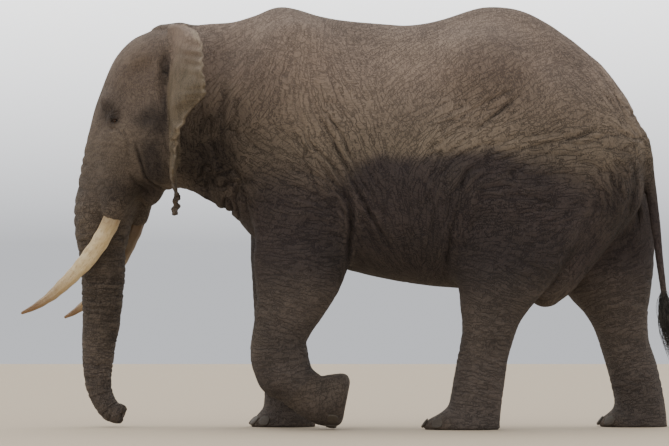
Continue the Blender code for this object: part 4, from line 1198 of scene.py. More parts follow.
local = world_to_head(places)
ears = on_ear(local)
run = grain(places, places_of(skin.data, "normal"), local)
height = fold_height(places, ears, run)
_, signed, gap, deep = creases(places, local)
slack = slack_folds(places, run)[1]
waver = 0.05 * noise(places, 0.5) + 0.02 * noise(places, 0.12)
flank = fade(places[:, 0], -0.25, 0.25) * (1.0 - fade(places[:, 0], 1.1, 2.0))
rest = 1.0 - flank
wet = 1.0 - fade(places[:, 2] + waver, TIDE - 0.08 - 0.39 * rest, TIDE + 0.05 + 0.11 * rest)
wet = wet * (0.55 + 0.45 * fade(places[:, 2] + waver, 0.85, 1.35)) * (1.0 - ears)
place, share = down_the_limb(places, local)[:2]
in_front = fade(local[:, 0], 0.0, 0.3)
carry(skin.data, "run", run)
carry(skin.data, "fold", np.clip(height / 0.010, -1.5, 1.5))
carry(skin.data, "slack", slack * (1.0 - ears) * (1.0 - in_front))
carry(skin.data, "crease_side", signed)
carry(skin.data, "crease_gap", gap)
carry(skin.data, "crease_depth", deep * (1.0 - ears) * calm(places))
carry(skin.data, "wet", wet * (1.0 - 0.6 * in_front))
across = across_ear(local)
joined = fade(places[:, 2], 2.78, 2.98) * (1.0 - fade(across, 0.05, 0.35))
rim = fade(across + 0.05 * noise(places, 0.04), 0.94, 0.99) * fade(places[:, 2], 1.95, 2.15)
carry(skin.data, "ear", ears * (1.0 - joined))
carry(skin.data, "ear_rim", ears * rim * (0.6 + 0.5 * noise(places, 0.09)))
carry(skin.data, "ear_strip", ears * (1.0 - fade(places[:, 2], 1.88, 2.02)))
carry(skin.data, "face", in_front * (1.0 - ears) * fade(places[:, 2], 1.5, 1.9))
# the dark patches: dark skin, painted shade and painted shadow, none on the ears
carry(skin.data, "shade", dark_skin_and_shade_of(places, local) * (1.0 - ears))
carry(skin.data, "trunk", share * in_front * (1.0 - fade(places[:, 2], 1.55, 1.90)) * (1.0 - ears))
carry(skin.data, "limb_place", place)
carry(skin.data, "limb_share", share * (1.0 - ears))
print("the skin carries", [layer.name for layer in skin.data.attributes if not layer.is_internal])

# %% [markdown]
# ## Materials
# Colours are written as sRGB hex and turned to linear by one function. Patterns use real sizes. The furrows
# of an elephant's skin part it into pads 10 to 30 mm across. Here the net's lines are 24 and 32 mm apart with
# cells of 22 mm among them, and the rings of legs and trunk are 32 and 34 mm apart. Finer ones would not show.

# %%
DUST_DARK, DUST_LIGHT = "#75665d", "#8c7b6f"
OLIVE = "#585040"
MUD_DARK, MUD_LIGHT = "#2c2527", "#372e2f"
LEG_DARK, LEG_LIGHT = "#433c39", "#5a514c"
EAR_DARK, EAR_LIGHT = "#534938", "#6d604d"
FACE = "#4b413b"

NET_SIZE, CROSS_SIZE = 1.0 / 31.0, 1.0 / 42.0          # metres between the lines of the net, each way
CELL_SIZE, LEG_RING, TRUNK_RING = 0.022, 0.032, 0.034
CROSS_SLANT = 0.45          # how far the cross lines lean from square
FURROW_HALF = 0.017         # how far from its middle value the noise is at a furrow's edge
BUMP_DEPTH = 0.009
SKIN_NUMBERS = (
    "fold", "wet", "ear", "shade", "limb_place", "limb_share", "slack", "face", "trunk", "crease_side",
    "crease_gap", "crease_depth", "ear_rim", "ear_strip",
)
MATH, VECTOR_MATH, RANGE = "ShaderNodeMath", "ShaderNodeVectorMath", "ShaderNodeMapRange"
NOISE, MIX, ATTRIBUTE = "ShaderNodeTexNoise", "ShaderNodeMix", "ShaderNodeAttribute"


def colour(hex_code):
    """An sRGB hex colour as linear numbers."""
    parts = [int(hex_code[i : i + 2], 16) / 255.0 for i in (1, 3, 5)]
    return [c / 12.92 if c <= 0.04045 else ((c + 0.055) / 1.055) ** 2.4 for c in parts] + [1.0]


def node(tree, kind, inputs=(), **settings):
    """Adds a node with its settings and links, and gives its outputs.

    Inputs are listed in the order of the sockets, or keyed by their names or numbers. Each is an output to
    link, a hex colour or a value.
    """
    made = tree.nodes.new(kind)
    for name, value in settings.items():
        setattr(made, name, value)
    for socket, value in inputs.items() if isinstance(inputs, dict) else enumerate(inputs):
        if isinstance(value, bpy.types.NodeSocket):
            tree.links.new(value, made.inputs[socket])
        else:
            made.inputs[socket].default_value = colour(value) if str(value).startswith("#") else value
    return made.outputs


def new_material(name):
    made = bpy.data.materials.new(name)
    made.use_nodes = True
    tree = made.node_tree
    return made, tree, tree.nodes["Principled BSDF"], node(tree, "ShaderNodeTexCoord")["Object"]


def drawn_out(tree, place, run, scale, step, half):
    """How far from its middle value a noise is that is drawn out along a heading.

    It is near 0 along thin lines that follow the heading, and is the mean of the noise at places a step
    apart on it, half of them to each side.
    """
    total = 0.0
    for k in range(-half, half + 1):
        moved = node(tree, VECTOR_MATH, (run, (k * step,) * 3, place), operation="MULTIPLY_ADD")[0]
        value = node(tree, NOISE, {"Vector": moved, "Scale": scale, "Detail": 1.0, "Roughness": 0.5})[0]
        total = node(tree, MATH, (value, 1.0 / (2 * half + 1), total), operation="MULTIPLY_ADD")[0]
    off = node(tree, MATH, (total, 0.5), operation="SUBTRACT")[0]
    return node(tree, MATH, (off,), operation="ABSOLUTE")[0]


print("the net's lines are", round(1000 * NET_SIZE), "and", round(1000 * CROSS_SIZE), "mm apart")

# %% [markdown]
# ## Wrinkles
# The net's lines run along the skin's grain and nearly square to it. Legs and trunk have rings. A pattern is
# 1 on the pads and 0 in the furrows.

# %%
def wrinkles(tree, place, wander, seen):
    """The wrinkles' pattern, 1 on the pads and 0 in the furrows: the net, leg rings and trunk rings."""
    run = node(tree, ATTRIBUTE, attribute_name="run")["Vector"]
    normal = node(tree, "ShaderNodeNewGeometry")["Normal"]
    square = node(tree, VECTOR_MATH, (normal, run), operation="CROSS_PRODUCT")[0]
    across = node(tree, VECTOR_MATH, (run, (CROSS_SLANT,) * 3, square), operation="MULTIPLY_ADD")[0]
    bend = node(tree, NOISE, {"Vector": place, "Scale": 7.0, "Detail": 2.0})["Color"]
    bent = node(tree, VECTOR_MATH, (bend, (0.05,) * 3, place), operation="MULTIPLY_ADD")[0]
    along = drawn_out(tree, bent, run, 1.0 / NET_SIZE, 0.020, 3)
    beside = drawn_out(tree, bent, across, 1.0 / CROSS_SIZE, 0.011, 2)
    lines, cross_lines = (node(tree, RANGE, (line, 0.0, FURROW_HALF))[0] for line in (along, beside))

    waves = []
    for spacing, waver in ((LEG_RING, 14.0), (TRUNK_RING, 9.0)):
        sway = node(tree, MATH, (wander, waver), operation="MULTIPLY")[0]
        phase = (seen["limb_place"], math.pi / spacing, sway)
        wave = node(tree, MATH, phase, operation="MULTIPLY_ADD")[0]
        for operation in ("SINE", "ABSOLUTE"):
            wave = node(tree, MATH, (wave,), operation=operation)[0]
        waves.append(wave)
    rounded = node(tree, MATH, (waves[0], 0.5), operation="POWER")[0]
    flat = node(tree, RANGE, (seen["limb_share"], 0.0, 1.0, 1.0, 0.35))[0]
    ring = node(tree, MATH, (rounded, flat), operation="MAXIMUM")[0]
    hoop = node(tree, RANGE, (waves[1], 0.0, 0.65))[0]
    flat = node(tree, RANGE, (seen["trunk"], 0.0, 1.0, 1.0, 0.0))[0]
    hoop = node(tree, MATH, (hoop, flat), operation="MAXIMUM")[0]

    # the net is weaker where the skin is tight, on the face and ears, and where rings take its place
    bound = node(tree, MATH, (seen["limb_share"], 0.7), operation="MULTIPLY")[0]
    loose = node(tree, MATH, (seen["slack"], bound), operation="MAXIMUM")[0]
    weak = node(tree, RANGE, (loose, 0.0, 1.0, 0.40, 0.0))[0]
    for name, strength in (("face", 0.70), ("ear", 0.60), ("trunk", 0.55)):
        share = node(tree, MATH, (seen[name], strength), operation="MULTIPLY")[0]
        weak = node(tree, MATH, (weak, share), operation="MAXIMUM")[0]
    cross_weak = node(tree, RANGE, (loose, 0.0, 1.0, 0.50, 0.65))[0]
    cross_weak = node(tree, MATH, (cross_weak, weak), operation="MAXIMUM")[0]
    lines = node(tree, MATH, (lines, weak), operation="MAXIMUM")[0]
    cross_lines = node(tree, MATH, (cross_lines, cross_weak), operation="MAXIMUM")[0]
    return node(tree, MATH, (lines, cross_lines), operation="MULTIPLY")[0], ring, hoop


print("rings are", round(1000 * LEG_RING), "and", round(1000 * TRUNK_RING), "mm apart on legs and trunk")

# %% [markdown]
# ## Hide
# Light dust lies on the back and dark mud below the tide line. The wrinkles, the creases and fine grit make
# the bumps. Their furrows, the creases and the deep folds are also painted darker than the pads between them,
# as painted shade, and the crests of the pads and the raised folds are painted lighter, part dust and part
# painted highlight.

# %%
def hide_material():
    """Elephant hide: thick, dry, cracked into pads. It is matt, dusty on top and muddy below."""
    made, tree, shader, place = new_material("elephant_hide")
    seen = {name: node(tree, ATTRIBUTE, attribute_name=name)["Fac"] for name in SKIN_NUMBERS}
    rows = ((5.0, 3.0, 0.6), (110.0, 3.0, 0.7), (2.0, 4.0, 0.5), (28.0, 4.0, 0.7), (6.0, 5.0, 0.6))
    wander, grit, cloud, fine, blotch = (
        node(tree, NOISE, {"Vector": place, "Scale": scale, "Detail": detail, "Roughness": rough})[0]
        for scale, detail, rough in rows
    )
    net_lines, ring, hoop = wrinkles(tree, place, wander, seen)

    inputs = {"Vector": place, "Scale": 1.0 / CELL_SIZE}
    cell = node(tree, "ShaderNodeTexVoronoi", inputs, feature="DISTANCE_TO_EDGE")["Distance"]
    small = node(tree, RANGE, (cell, 0.0, 0.20))[0]
    on_ear_too = node(tree, MATH, (seen["ear"], 0.60), operation="MULTIPLY")[0]
    for other in (0.6, on_ear_too):
        small = node(tree, MATH, (small, other), operation="MAXIMUM")[0]
    side = node(tree, MATH, (seen["crease_side"],), operation="ABSOLUTE")[0]
    crack = node(tree, RANGE, (side, 0.002, 0.010))[0]
    for row in ((seen["crease_gap"], 0.020, 0.035), (seen["crease_depth"], 0.2, 0.8, 1.0, 0.0)):
        away = node(tree, RANGE, row)[0]
        crack = node(tree, MATH, (crack, away), operation="MAXIMUM")[0]
    height = crack
    for value, weight in ((net_lines, 1.0), (small, 0.7), (ring, 0.35), (hoop, 0.7), (grit, 0.45)):
        height = node(tree, MATH, (value, weight, height), operation="MULTIPLY_ADD")[0]
    bump = node(tree, "ShaderNodeBump", {"Height": height, "Strength": 1.0, "Distance": BUMP_DEPTH})
    tree.links.new(bump[0], shader.inputs["Normal"])

    level = node(tree, "ShaderNodeSeparateXYZ", (place,))[2]
    patchy = node(tree, RANGE, (cloud, 0.35, 0.65))[0]
    dusty, muddy, legs = (
        node(tree, MIX, {0: patchy, 6: dark, 7: light}, data_type="RGBA")[2]
        for dark, light in ((DUST_DARK, DUST_LIGHT), (MUD_DARK, MUD_LIGHT), (LEG_DARK, LEG_LIGHT))
    )
    lower = node(tree, RANGE, (level, 2.80, 2.15, 0.0, 0.70))[0]
    speck = node(tree, RANGE, (fine, 0.35, 0.75, 0.0, 0.20))[0]
    low = node(tree, RANGE, (level, 1.45, 0.45))[0]
    on_leg = node(tree, MATH, (low, seen["limb_share"]), operation="MULTIPLY")[0]
    on_face = node(tree, RANGE, (seen["face"], 0.0, 1.0, 0.0, 0.55))[0]
    mottled = node(tree, RANGE, (blotch, 0.3, 0.7))[0]
    ear_top = node(tree, RANGE, (level, 2.75, 3.05))[0]
    ear_rim = node(tree, MATH, (seen["ear_rim"], 0.55), operation="MULTIPLY")[0]
    ear_strip = node(tree, MATH, (seen["ear_strip"], 0.85), operation="MULTIPLY")[0]
    ear_tone = node(tree, MIX, {0: mottled, 6: EAR_DARK, 7: EAR_LIGHT}, data_type="RGBA")[2]
    for share, tone in ((ear_top, DUST_LIGHT), (ear_rim, "#b3a48f"), (ear_strip, "#352e2a")):
        ear_tone = node(tree, MIX, {0: share, 6: ear_tone, 7: tone}, data_type="RGBA")[2]

    dimmer = node(tree, RANGE, (seen["limb_share"], 0.0, 1.0, 1.0, 0.62))[0]
    fade_down = node(tree, MATH, (dimmer, seen["trunk"]), operation="MAXIMUM")[0]
    net_seen = node(tree, MATH, (ring, 0.5), operation="MAXIMUM")[0]
    for other in (net_lines, hoop):
        net_seen = node(tree, MATH, (net_seen, other), operation="MULTIPLY")[0]
    # painted shade: the net's furrows and the rings' grooves are painted darker, less on the limbs
    furrow_shade = node(tree, MATH, (1.0, net_seen), operation="SUBTRACT")[0]
    furrow_shade = node(tree, MATH, (furrow_shade, fade_down), operation="MULTIPLY")[0]
    furrow_shade = node(tree, RANGE, (furrow_shade, 0.0, 1.0, 0.0, 0.38))[0]
    # painted shade: darker along the creases and down in the deep folds
    cracked = node(tree, RANGE, (crack, 0.0, 1.0, 0.30, 0.0))[0]
    fold_shade = node(tree, RANGE, (seen["fold"], 0.0, -1.2, 0.0, 0.55))[0]
    # the ridges' lighter tone fades where the skin is wet or painted dark, so dry here means dry and out of
    # the painted shade
    wet_or_shaded = node(tree, MATH, (seen["wet"], seen["shade"]), operation="MAXIMUM")[0]
    wet_or_shaded = node(tree, MATH, (wet_or_shaded, 0.70), operation="MULTIPLY")[0]
    dry = node(tree, MATH, (1.0, wet_or_shaded), operation="SUBTRACT")[0]
    # dust and painted highlight: the crests of the pads and the raised folds are painted lighter
    crest = node(tree, RANGE, (net_lines, 0.5, 1.0, 0.0, 0.14))[0]
    raised = node(tree, RANGE, (seen["fold"], 0.15, 0.9, 0.0, 0.16))[0]
    ridge = node(tree, MATH, (crest, fade_down, raised), operation="MULTIPLY_ADD")[0]
    ridge = node(tree, MATH, (ridge, dry), operation="MULTIPLY")[0]
    # The tones go on one over another. The dark patches (#221c1c) are dark skin with painted shade and painted
    # shadow; the furrows, creases and deep folds are painted shade; the ridges (#a3927f) are dust with painted
    # highlight.
    body = dusty
    for share, tone in (
        (lower, OLIVE), (speck, "#63564c"), (seen["wet"], muddy), (on_leg, legs), (on_face, FACE),
        (seen["shade"], "#221c1c"), (seen["ear"], ear_tone), (furrow_shade, "#1f1917"), (cracked, "#1a1513"),
        (fold_shade, "#1f1918"), (ridge, "#a3927f"),
    ):
        body = node(tree, MIX, {0: share, 6: body, 7: tone}, data_type="RGBA")[2]
    tree.links.new(body, shader.inputs["Base Color"])
    tree.links.new(node(tree, RANGE, (seen["wet"], 0.0, 1.0, 0.88, 0.74))[0], shader.inputs["Roughness"])
    shader.inputs["Specular IOR Level"].default_value = 0.3
    return made


hide = hide_material()
print("hide reads", len(SKIN_NUMBERS), "numbers of the skin")

# %% [markdown]
# ## Ivory, horn, eye and hair
# These are the finishes of the small pieces.

# %%
def ivory_material():
    """Tusk ivory: dense and half-gloss, stained brown with sap and soil along its grain."""
    made, tree, shader, place = new_material("tusk_ivory_worn")
    names = ("tusk_place", "tusk_turn", "tusk_stain")
    at, around, stained = (node(tree, ATTRIBUTE, attribute_name=name)["Fac"] for name in names)
    stretched = node(tree, MATH, (at, 5.0), operation="MULTIPLY")[0]
    grained = node(tree, "ShaderNodeCombineXYZ", (stretched, around))[0]
    streak, cloud, spots = (
        node(tree, NOISE, {"Vector": vector, "Scale": scale, "Detail": detail, "Roughness": rough})[0]
        for vector, scale, detail, rough in (
            (grained, 5.0, 6.0, 0.7), (place, 9.0, 5.0, 0.65), (place, 55.0, 4.0, 0.75)
        )
    )
    worn = node(tree, MATH, (cloud, 0.30, at), operation="MULTIPLY_ADD")[0]
    tone = "#c9b083"
    for row, over in (
        ((cloud, 0.35, 0.65), "#dccaa4"), ((streak, 0.50, 0.70, 0.0, 0.70), "#8f6a3b"),
        ((spots, 0.60, 0.74, 0.0, 0.6), "#7a5730"), ((worn, 0.66, 1.05, 0.0, 0.90), "#6d4b2a"),
        ((at, 0.27, 0.14, 0.0, 0.6), "#5f452b"), ((stained, 0.0, 1.0), "#40291b"),
    ):
        share = node(tree, RANGE, row)[0]
        tone = node(tree, MIX, {0: share, 6: tone, 7: over}, data_type="RGBA")[2]
    tree.links.new(tone, shader.inputs["Base Color"])
    tree.links.new(node(tree, RANGE, (spots, 0.3, 0.7, 0.38, 0.62))[0], shader.inputs["Roughness"])
    height = node(tree, MATH, (spots, 0.5, streak), operation="MULTIPLY_ADD")[0]
    bump = node(tree, "ShaderNodeBump", {"Height": height, "Strength": 0.5, "Distance": 0.002})
    tree.links.new(bump[0], shader.inputs["Normal"])
    shader.inputs["IOR"].default_value = 1.54
    return made


def horn_material():
    """Toenail horn: grown in thin layers, worn dull and dusty."""
    made, tree, shader, place = new_material("toenail_horn_worn")
    layers = node(tree, "ShaderNodeMapping", {"Vector": place, "Scale": (1.0, 1.0, 9.0)})[0]
    bands = node(tree, NOISE, {"Vector": layers, "Scale": 22.0, "Detail": 4.0, "Roughness": 0.6})[0]
    cloud = node(tree, NOISE, {"Vector": place, "Scale": 60.0, "Detail": 4.0, "Roughness": 0.7})[0]
    tone = "#3d362f"
    for row, over in (((bands, 0.35, 0.65), "#51483d"), ((cloud, 0.45, 0.7, 0.0, 0.6), "#352e28")):
        share = node(tree, RANGE, row)[0]
        tone = node(tree, MIX, {0: share, 6: tone, 7: over}, data_type="RGBA")[2]
    tree.links.new(tone, shader.inputs["Base Color"])
    bump = node(tree, "ShaderNodeBump", {"Height": bands, "Strength": 0.7, "Distance": 0.002})
    tree.links.new(bump[0], shader.inputs["Normal"])
    shader.inputs["Roughness"].default_value = 0.62
    return made


def eye_material():
    """A wet eye: amber-brown iris, black pupil, dark rim, under a glossy cornea."""
    made, tree, shader, place = new_material("eye_wet_brown")
    off = node(tree, ATTRIBUTE, attribute_name="from_pupil")["Fac"]
    fleck = node(tree, NOISE, {"Vector": place, "Scale": 400.0, "Detail": 3.0, "Roughness": 0.6})[0]
    flecked, beyond_pupil, beyond_iris = (
        node(tree, RANGE, row)[0] for row in ((fleck, 0.35, 0.65), (off, 0.24, 0.28), (off, 0.60, 0.70))
    )
    iris = node(tree, MIX, {0: flecked, 6: "#2a180c", 7: "#472b13"}, data_type="RGBA")[2]
    tone = node(tree, MIX, {0: beyond_pupil, 6: "#050404", 7: iris}, data_type="RGBA")[2]
    tone = node(tree, MIX, {0: beyond_iris, 6: tone, 7: "#1a120e"}, data_type="RGBA")[2]
    tree.links.new(tone, shader.inputs["Base Color"])
    shader.inputs["Roughness"].default_value = 0.06
    shader.inputs["IOR"].default_value = 1.34
    return made


def hair_material():
    """Coarse black hair, half-gloss, greyed with dust in patches."""
    made, tree, shader, place = new_material("tail_hair_wiry")
    dust = node(tree, NOISE, {"Vector": place, "Scale": 14.0, "Detail": 4.0, "Roughness": 0.7})[0]
    share = node(tree, RANGE, (dust, 0.42, 0.72))[0]
    tone = node(tree, MIX, {0: share, 6: "#16130f", 7: "#4d473f"}, data_type="RGBA")[2]
    tree.links.new(tone, shader.inputs["Base Color"])
    shader.inputs["Roughness"].default_value = 0.45
    return made


ivory, horn, wet_eye, wiry = ivory_material(), horn_material(), eye_material(), hair_material()
print("materials:", [m.name for m in (hide, ivory, horn, wet_eye, wiry)])

# %% [markdown]
# ## Finishing a piece
# Every piece is shaded smooth, moved from the body's own axes to the frame's, and told which body it rides
# on and which finish it has. The CAD nodes it stands for are hidden.

# %%
FLESH_NODES = (
    "belly", "chest", "rump", "neck", "head", "lower_jaw", "trunk_upper", "trunk_middle", "trunk_lower",
    "trunk_tip", "ear_left", "ear_right", "tail", "upper_fore_leg_left", "upper_fore_leg_right",
    "lower_fore_leg_left", "lower_fore_leg_right", "fore_foot_left", "fore_foot_right", "thigh_left",
    "thigh_right", "lower_hind_leg_left", "lower_hind_leg_right", "hind_foot_left", "hind_foot_right",
)


def ball(name, around, rings, radius=1.0):
    work = bmesh.new()
    bmesh.ops.create_uvsphere(work, u_segments=around, v_segments=rings, radius=radius)
    mesh = bpy.data.meshes.new(name)
    work.to_mesh(mesh)
    work.free()
    return mesh


def finish_piece(piece, finish, replaced):
    mesh = piece.data
    mesh.materials.clear()
    mesh.materials.append(finish)
    places = places_of(mesh)
    places[:, 2] = np.maximum(places[:, 2], 0.0)       # nothing reaches under the floor
    put_places(mesh, places)
    mesh.transform(Matrix.Translation(CENTRING))
    mesh.shade_smooth()
    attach(piece, "root")
    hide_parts(*replaced)


finish_piece(skin, hide, FLESH_NODES)
print("skin replaces", len(FLESH_NODES), "nodes")

# %% [markdown]
# ## Tusks
# Each tusk is swept along its curve, a little oval, with faint rings of growth, long grooves, and a tip worn
# blunt.

# %%
TUSK_SIDES, RINGS_PER_SPAN = 40, 14


def tusk(side, which):
    joints = [(*head_to_world((u, -side * v, z - TUSK_DROOP[which])), a, b) for u, v, z, a, b in TUSK]
    rows = smooth_row(joints, RINGS_PER_SPAN)
    ahead = np.gradient(rows[:, :3], axis=0)
    ahead /= np.linalg.norm(ahead, axis=1)[:, None]
    sides = TUSK_SIDES
    turns = np.linspace(0.0, 2.0 * math.pi, sides, endpoint=False)
    points, faces, at, around = [], [], [], []
    for i, row in enumerate(rows):
        across = np.array([0.0, 1.0, 0.0]) - ahead[i] * ahead[i][1]
        across /= np.linalg.norm(across)
        up = np.cross(ahead[i], across)
        share = i / (len(rows) - 1)
        for turn in turns:
            way = up * math.cos(turn) * 1.03 + across * math.sin(turn) * 0.97
            place = row[:3] + way * row[3]
            rub = 0.0016 * math.sin(share * 70.0) + 0.0020 * math.sin(turn * 7.0 + 5.0 * share)
            rub += 0.0035 * float(noise(place[None, :], 0.07)[0])
            points.append(row[:3] + way * (row[3] + rub * min(1.0, 4.0 * (1.0 - share)) - 0.0015))
            at.append(share)
            around.append(turn)
    for i in range(len(rows) - 1):
        for k in range(sides):
            a, b = i * sides + k, i * sides + (k + 1) % sides
            faces.append((a, b, b + sides, a + sides))
    for first, way in ((0, -1.0), ((len(rows) - 1) * sides, 1.0)):
        points.append(rows[0 if way < 0 else -1, :3] + ahead[0 if way < 0 else -1] * way * 0.008)
        at.append(0.0 if way < 0 else 1.0)
        around.append(0.0)
        for k in range(sides):
            faces.append((first + k, first + (k + 1) % sides, len(points) - 1))
    mesh = new_mesh(f"tusk_{which}_worn", points, faces)
    carry(mesh, "tusk_place", at)
    carry(mesh, "tusk_turn", np.sin(around) * 2.0 + np.cos(around))
    stained = 0.85 * (1.0 - fade(np.array(at), 0.30, 0.50)) if which == "right" else np.zeros(len(at))
    carry(mesh, "tusk_stain", stained)
    outward(mesh)
    return new_object(f"tusk_{which}_worn", mesh)


for side, which in ((-1, "left"), (1, "right")):
    finish_piece(tusk(side, which), ivory, [f"tusk_{which}"])
print("two tusks,", len(smooth_row(TUSK, RINGS_PER_SPAN)), "rings each")

# %% [markdown]
# ## Eyes
# Each eyeball is a sphere with a raised cornea. It looks out and a little forward and down.

# %%
def eyeball(side, which):
    low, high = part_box(f"eye_{which}")
    radius = (Vector(high) - Vector(low)).x / 2
    middle = eye_middle(side)
    out = (head_to_world((0.22, side, -0.10)) - head_to_world((0.0, 0.0, 0.0))).normalized()
    mesh = ball(f"eye_{which}_wet", 40, 28, radius)
    mesh.transform(out.to_track_quat("Z", "Y").to_matrix().to_4x4())
    points = places_of(mesh)
    ways = points / np.linalg.norm(points, axis=1)[:, None]
    off = np.arccos(np.clip(ways @ np.array(out), -1.0, 1.0))
    points = points + ways * (0.0016 * (1.0 - fade(off, 0.35, 0.75)))[:, None]
    put_places(mesh, points + np.array(middle))
    carry(mesh, "from_pupil", off)
    return new_object(f"eye_{which}_wet", mesh)


for side, which in ((-1, "left"), (1, "right")):
    finish_piece(eyeball(side, which), wet_eye, [f"eye_{which}"])
print("eyes at", [tuple(round(c, 3) for c in eye_middle(side)) for side in (-1, 1)])

# %% [markdown]
# ## Toenails
# A toenail is a domed plate set in the foot, thicker at its worn lower edge, with faint lines of growth. An
# African bull has four on each forefoot and three on each hind foot.

# %%
NAILS = (
    ("fore_right", (-0.555, 0.35), (-56, -22, 12, 46)),
    ("hind_left", (0.86, -0.36), (-38, 0, 38)),
    ("hind_right", (2.22, 0.345), (-38, 0, 38)),
)
NAIL_HEIGHT = 0.050
LIFTED_NAIL_HEIGHT = 0.080
NAIL_SIZE = (0.018, 0.046, 0.042)
LIFTED_NAILS = (-46, -12, 22, 56)


def on_surface(start, heading):
    """Where a line from outside first meets the skin."""
    start, heading = Vector(start), Vector(heading).normalized()
    steps = np.linspace(0.0, 1.0, 401)
    line = np.array([start + heading * t for t in steps])
    return start + heading * float(steps[int(np.argmax(plain_flesh(line) < 0.0))])


def way_out(place, step=0.01):
    """The way out of the flesh at a place on it."""
    steps = np.eye(3) * step
    rise = plain_flesh(np.array(place) + steps) - plain_flesh(np.array(place) - steps)
    return Vector(rise).normalized()


def facing(out, up):
    """Axes with the first one pointing out and the last one as near up as that allows."""
    side = up.cross(out).normalized()
    return Matrix((out, side, out.cross(side))).transposed()


def nail_places():
    made = []
    for foot, middle, angles in NAILS:
        for i, angle in enumerate(angles):
            turn = math.radians(angle)
            heading = Vector((-math.cos(turn), math.sin(turn), 0.0))
            place = on_surface(Vector((*middle, NAIL_HEIGHT)) + heading * 0.6, -heading)
            made.append((f"toenail_{foot}_{i + 1}", place, facing(way_out(place), Vector((0.0, 0.0, 1.0)))))
    faces = Vector(LIFTED_SOLE_FACES)
    front = Vector((0.0, 1.0, 0.0)).cross(faces).normalized()
    front = front if front.z < 0 else -front
    for i, angle in enumerate(LIFTED_NAILS):
        turn = math.radians(angle)
        heading = front * math.cos(turn) + Vector((0.0, math.sin(turn), 0.0))
        place = on_surface(Vector(LIFTED_SOLE) - faces * LIFTED_NAIL_HEIGHT + heading * 0.6, -heading)
        made.append((f"toenail_fore_left_{i + 1}", place, facing(way_out(place), faces)))
    return made


def nail(name, place, turned, lifted):
    mesh = ball(name + "_worn", 28, 20)
    for vertex in mesh.vertices:
        x, y, z = (math.copysign(abs(c) ** power, c) for c, power in zip(vertex.co, (0.6, 0.85, 0.8)))
        line = 0.03 * math.sin(z * 16.0) * (1.0 - abs(y)) * (x > 0)
        thick = (0.62 + 0.22 * (z if lifted else -z)) * (x + line)
        vertex.co = Vector((thick * NAIL_SIZE[0], y * NAIL_SIZE[1], z * NAIL_SIZE[2]))
    mesh.transform(Matrix.Translation(place) @ turned.to_4x4())
    outward(mesh)
    return new_object(name + "_worn", mesh)


for name, place, turned in nail_places():
    finish_piece(nail(name, place, turned, "fore_left" in name), horn, [name])
print(len(nail_places()), "toenails")

# %% [markdown]
# ## Hair
# The tail ends in a flat brush of wiry hair. A Geometry Nodes tree scatters roots over the end of the tail
# and hangs a tapered strand from each: it droops, leans its own way, and ends in a point. The strands become
# plain mesh. An elephant's tail hair is 1 to 2 mm thick, and is drawn here at 3 mm, as finer hair would not
# show.

# %%
STRAND_POINTS, STRAND_SIDES = 8, 4
TUFT_INPUTS = {
    "Core": "NodeSocketGeometry", "Density": "NodeSocketFloat", "Length": "NodeSocketFloat",
    "Thickness": "NodeSocketFloat", "Spread": "NodeSocketFloat", "Seed": "NodeSocketInt",
    "Finish": "NodeSocketMaterial",
}
TUFT_SETTINGS = {
    "Density": 26000.0, "Length": 0.47, "Thickness": 0.003, "Spread": 0.058, "Seed": 4, "Finish": wiry,
}
TAIL_END = (2.478, 0.0, 0.94, 0.024, 0.020)
HAIR_FROM = 1.09          # hair grows on the tail below this height
CORE_SIDES, CORE_SHARE = 12, 0.8


def straight_strands(tree, given):
    """Strands that hang straight down from roots on the core. Each root carries the way its strand leans."""
    inputs = {"Mesh": given["Core"], "Density": given["Density"], "Seed": given["Seed"]}
    roots = node(tree, "GeometryNodeDistributePointsOnFaces", inputs)["Points"]
    inputs = {0: (-1.0, -1.0, -1.0), 1: (1.0, 1.0, 1.0), "Seed": 3}
    lean = node(tree, "FunctionNodeRandomValue", inputs, data_type="FLOAT_VECTOR")[0]
    inputs = {"Geometry": roots, "Name": "lean", "Value": lean}
    stored = dict(data_type="FLOAT_VECTOR", domain="POINT")
    roots = node(tree, "GeometryNodeStoreNamedAttribute", inputs, **stored)[0]
    size = node(tree, "FunctionNodeRandomValue", {2: 0.62, 3: 1.0, "Seed": 5}, data_type="FLOAT")[1]
    size = node(tree, MATH, (size, given["Length"]), operation="MULTIPLY")[0]
    size = node(tree, "ShaderNodeCombineXYZ", (size, size, size))[0]
    inputs = {"Start": (0.0, 0.0, 0.0), "End": (0.0, 0.0, -1.0)}
    line = node(tree, "GeometryNodeCurvePrimitiveLine", inputs)[0]
    line = node(tree, "GeometryNodeResampleCurve", {"Curve": line, "Count": STRAND_POINTS})[0]
    inputs = {"Points": roots, "Instance": line, "Scale": size}
    placed = node(tree, "GeometryNodeInstanceOnPoints", inputs)[0]
    return node(tree, "GeometryNodeRealizeInstances", {"Geometry": placed})[0]


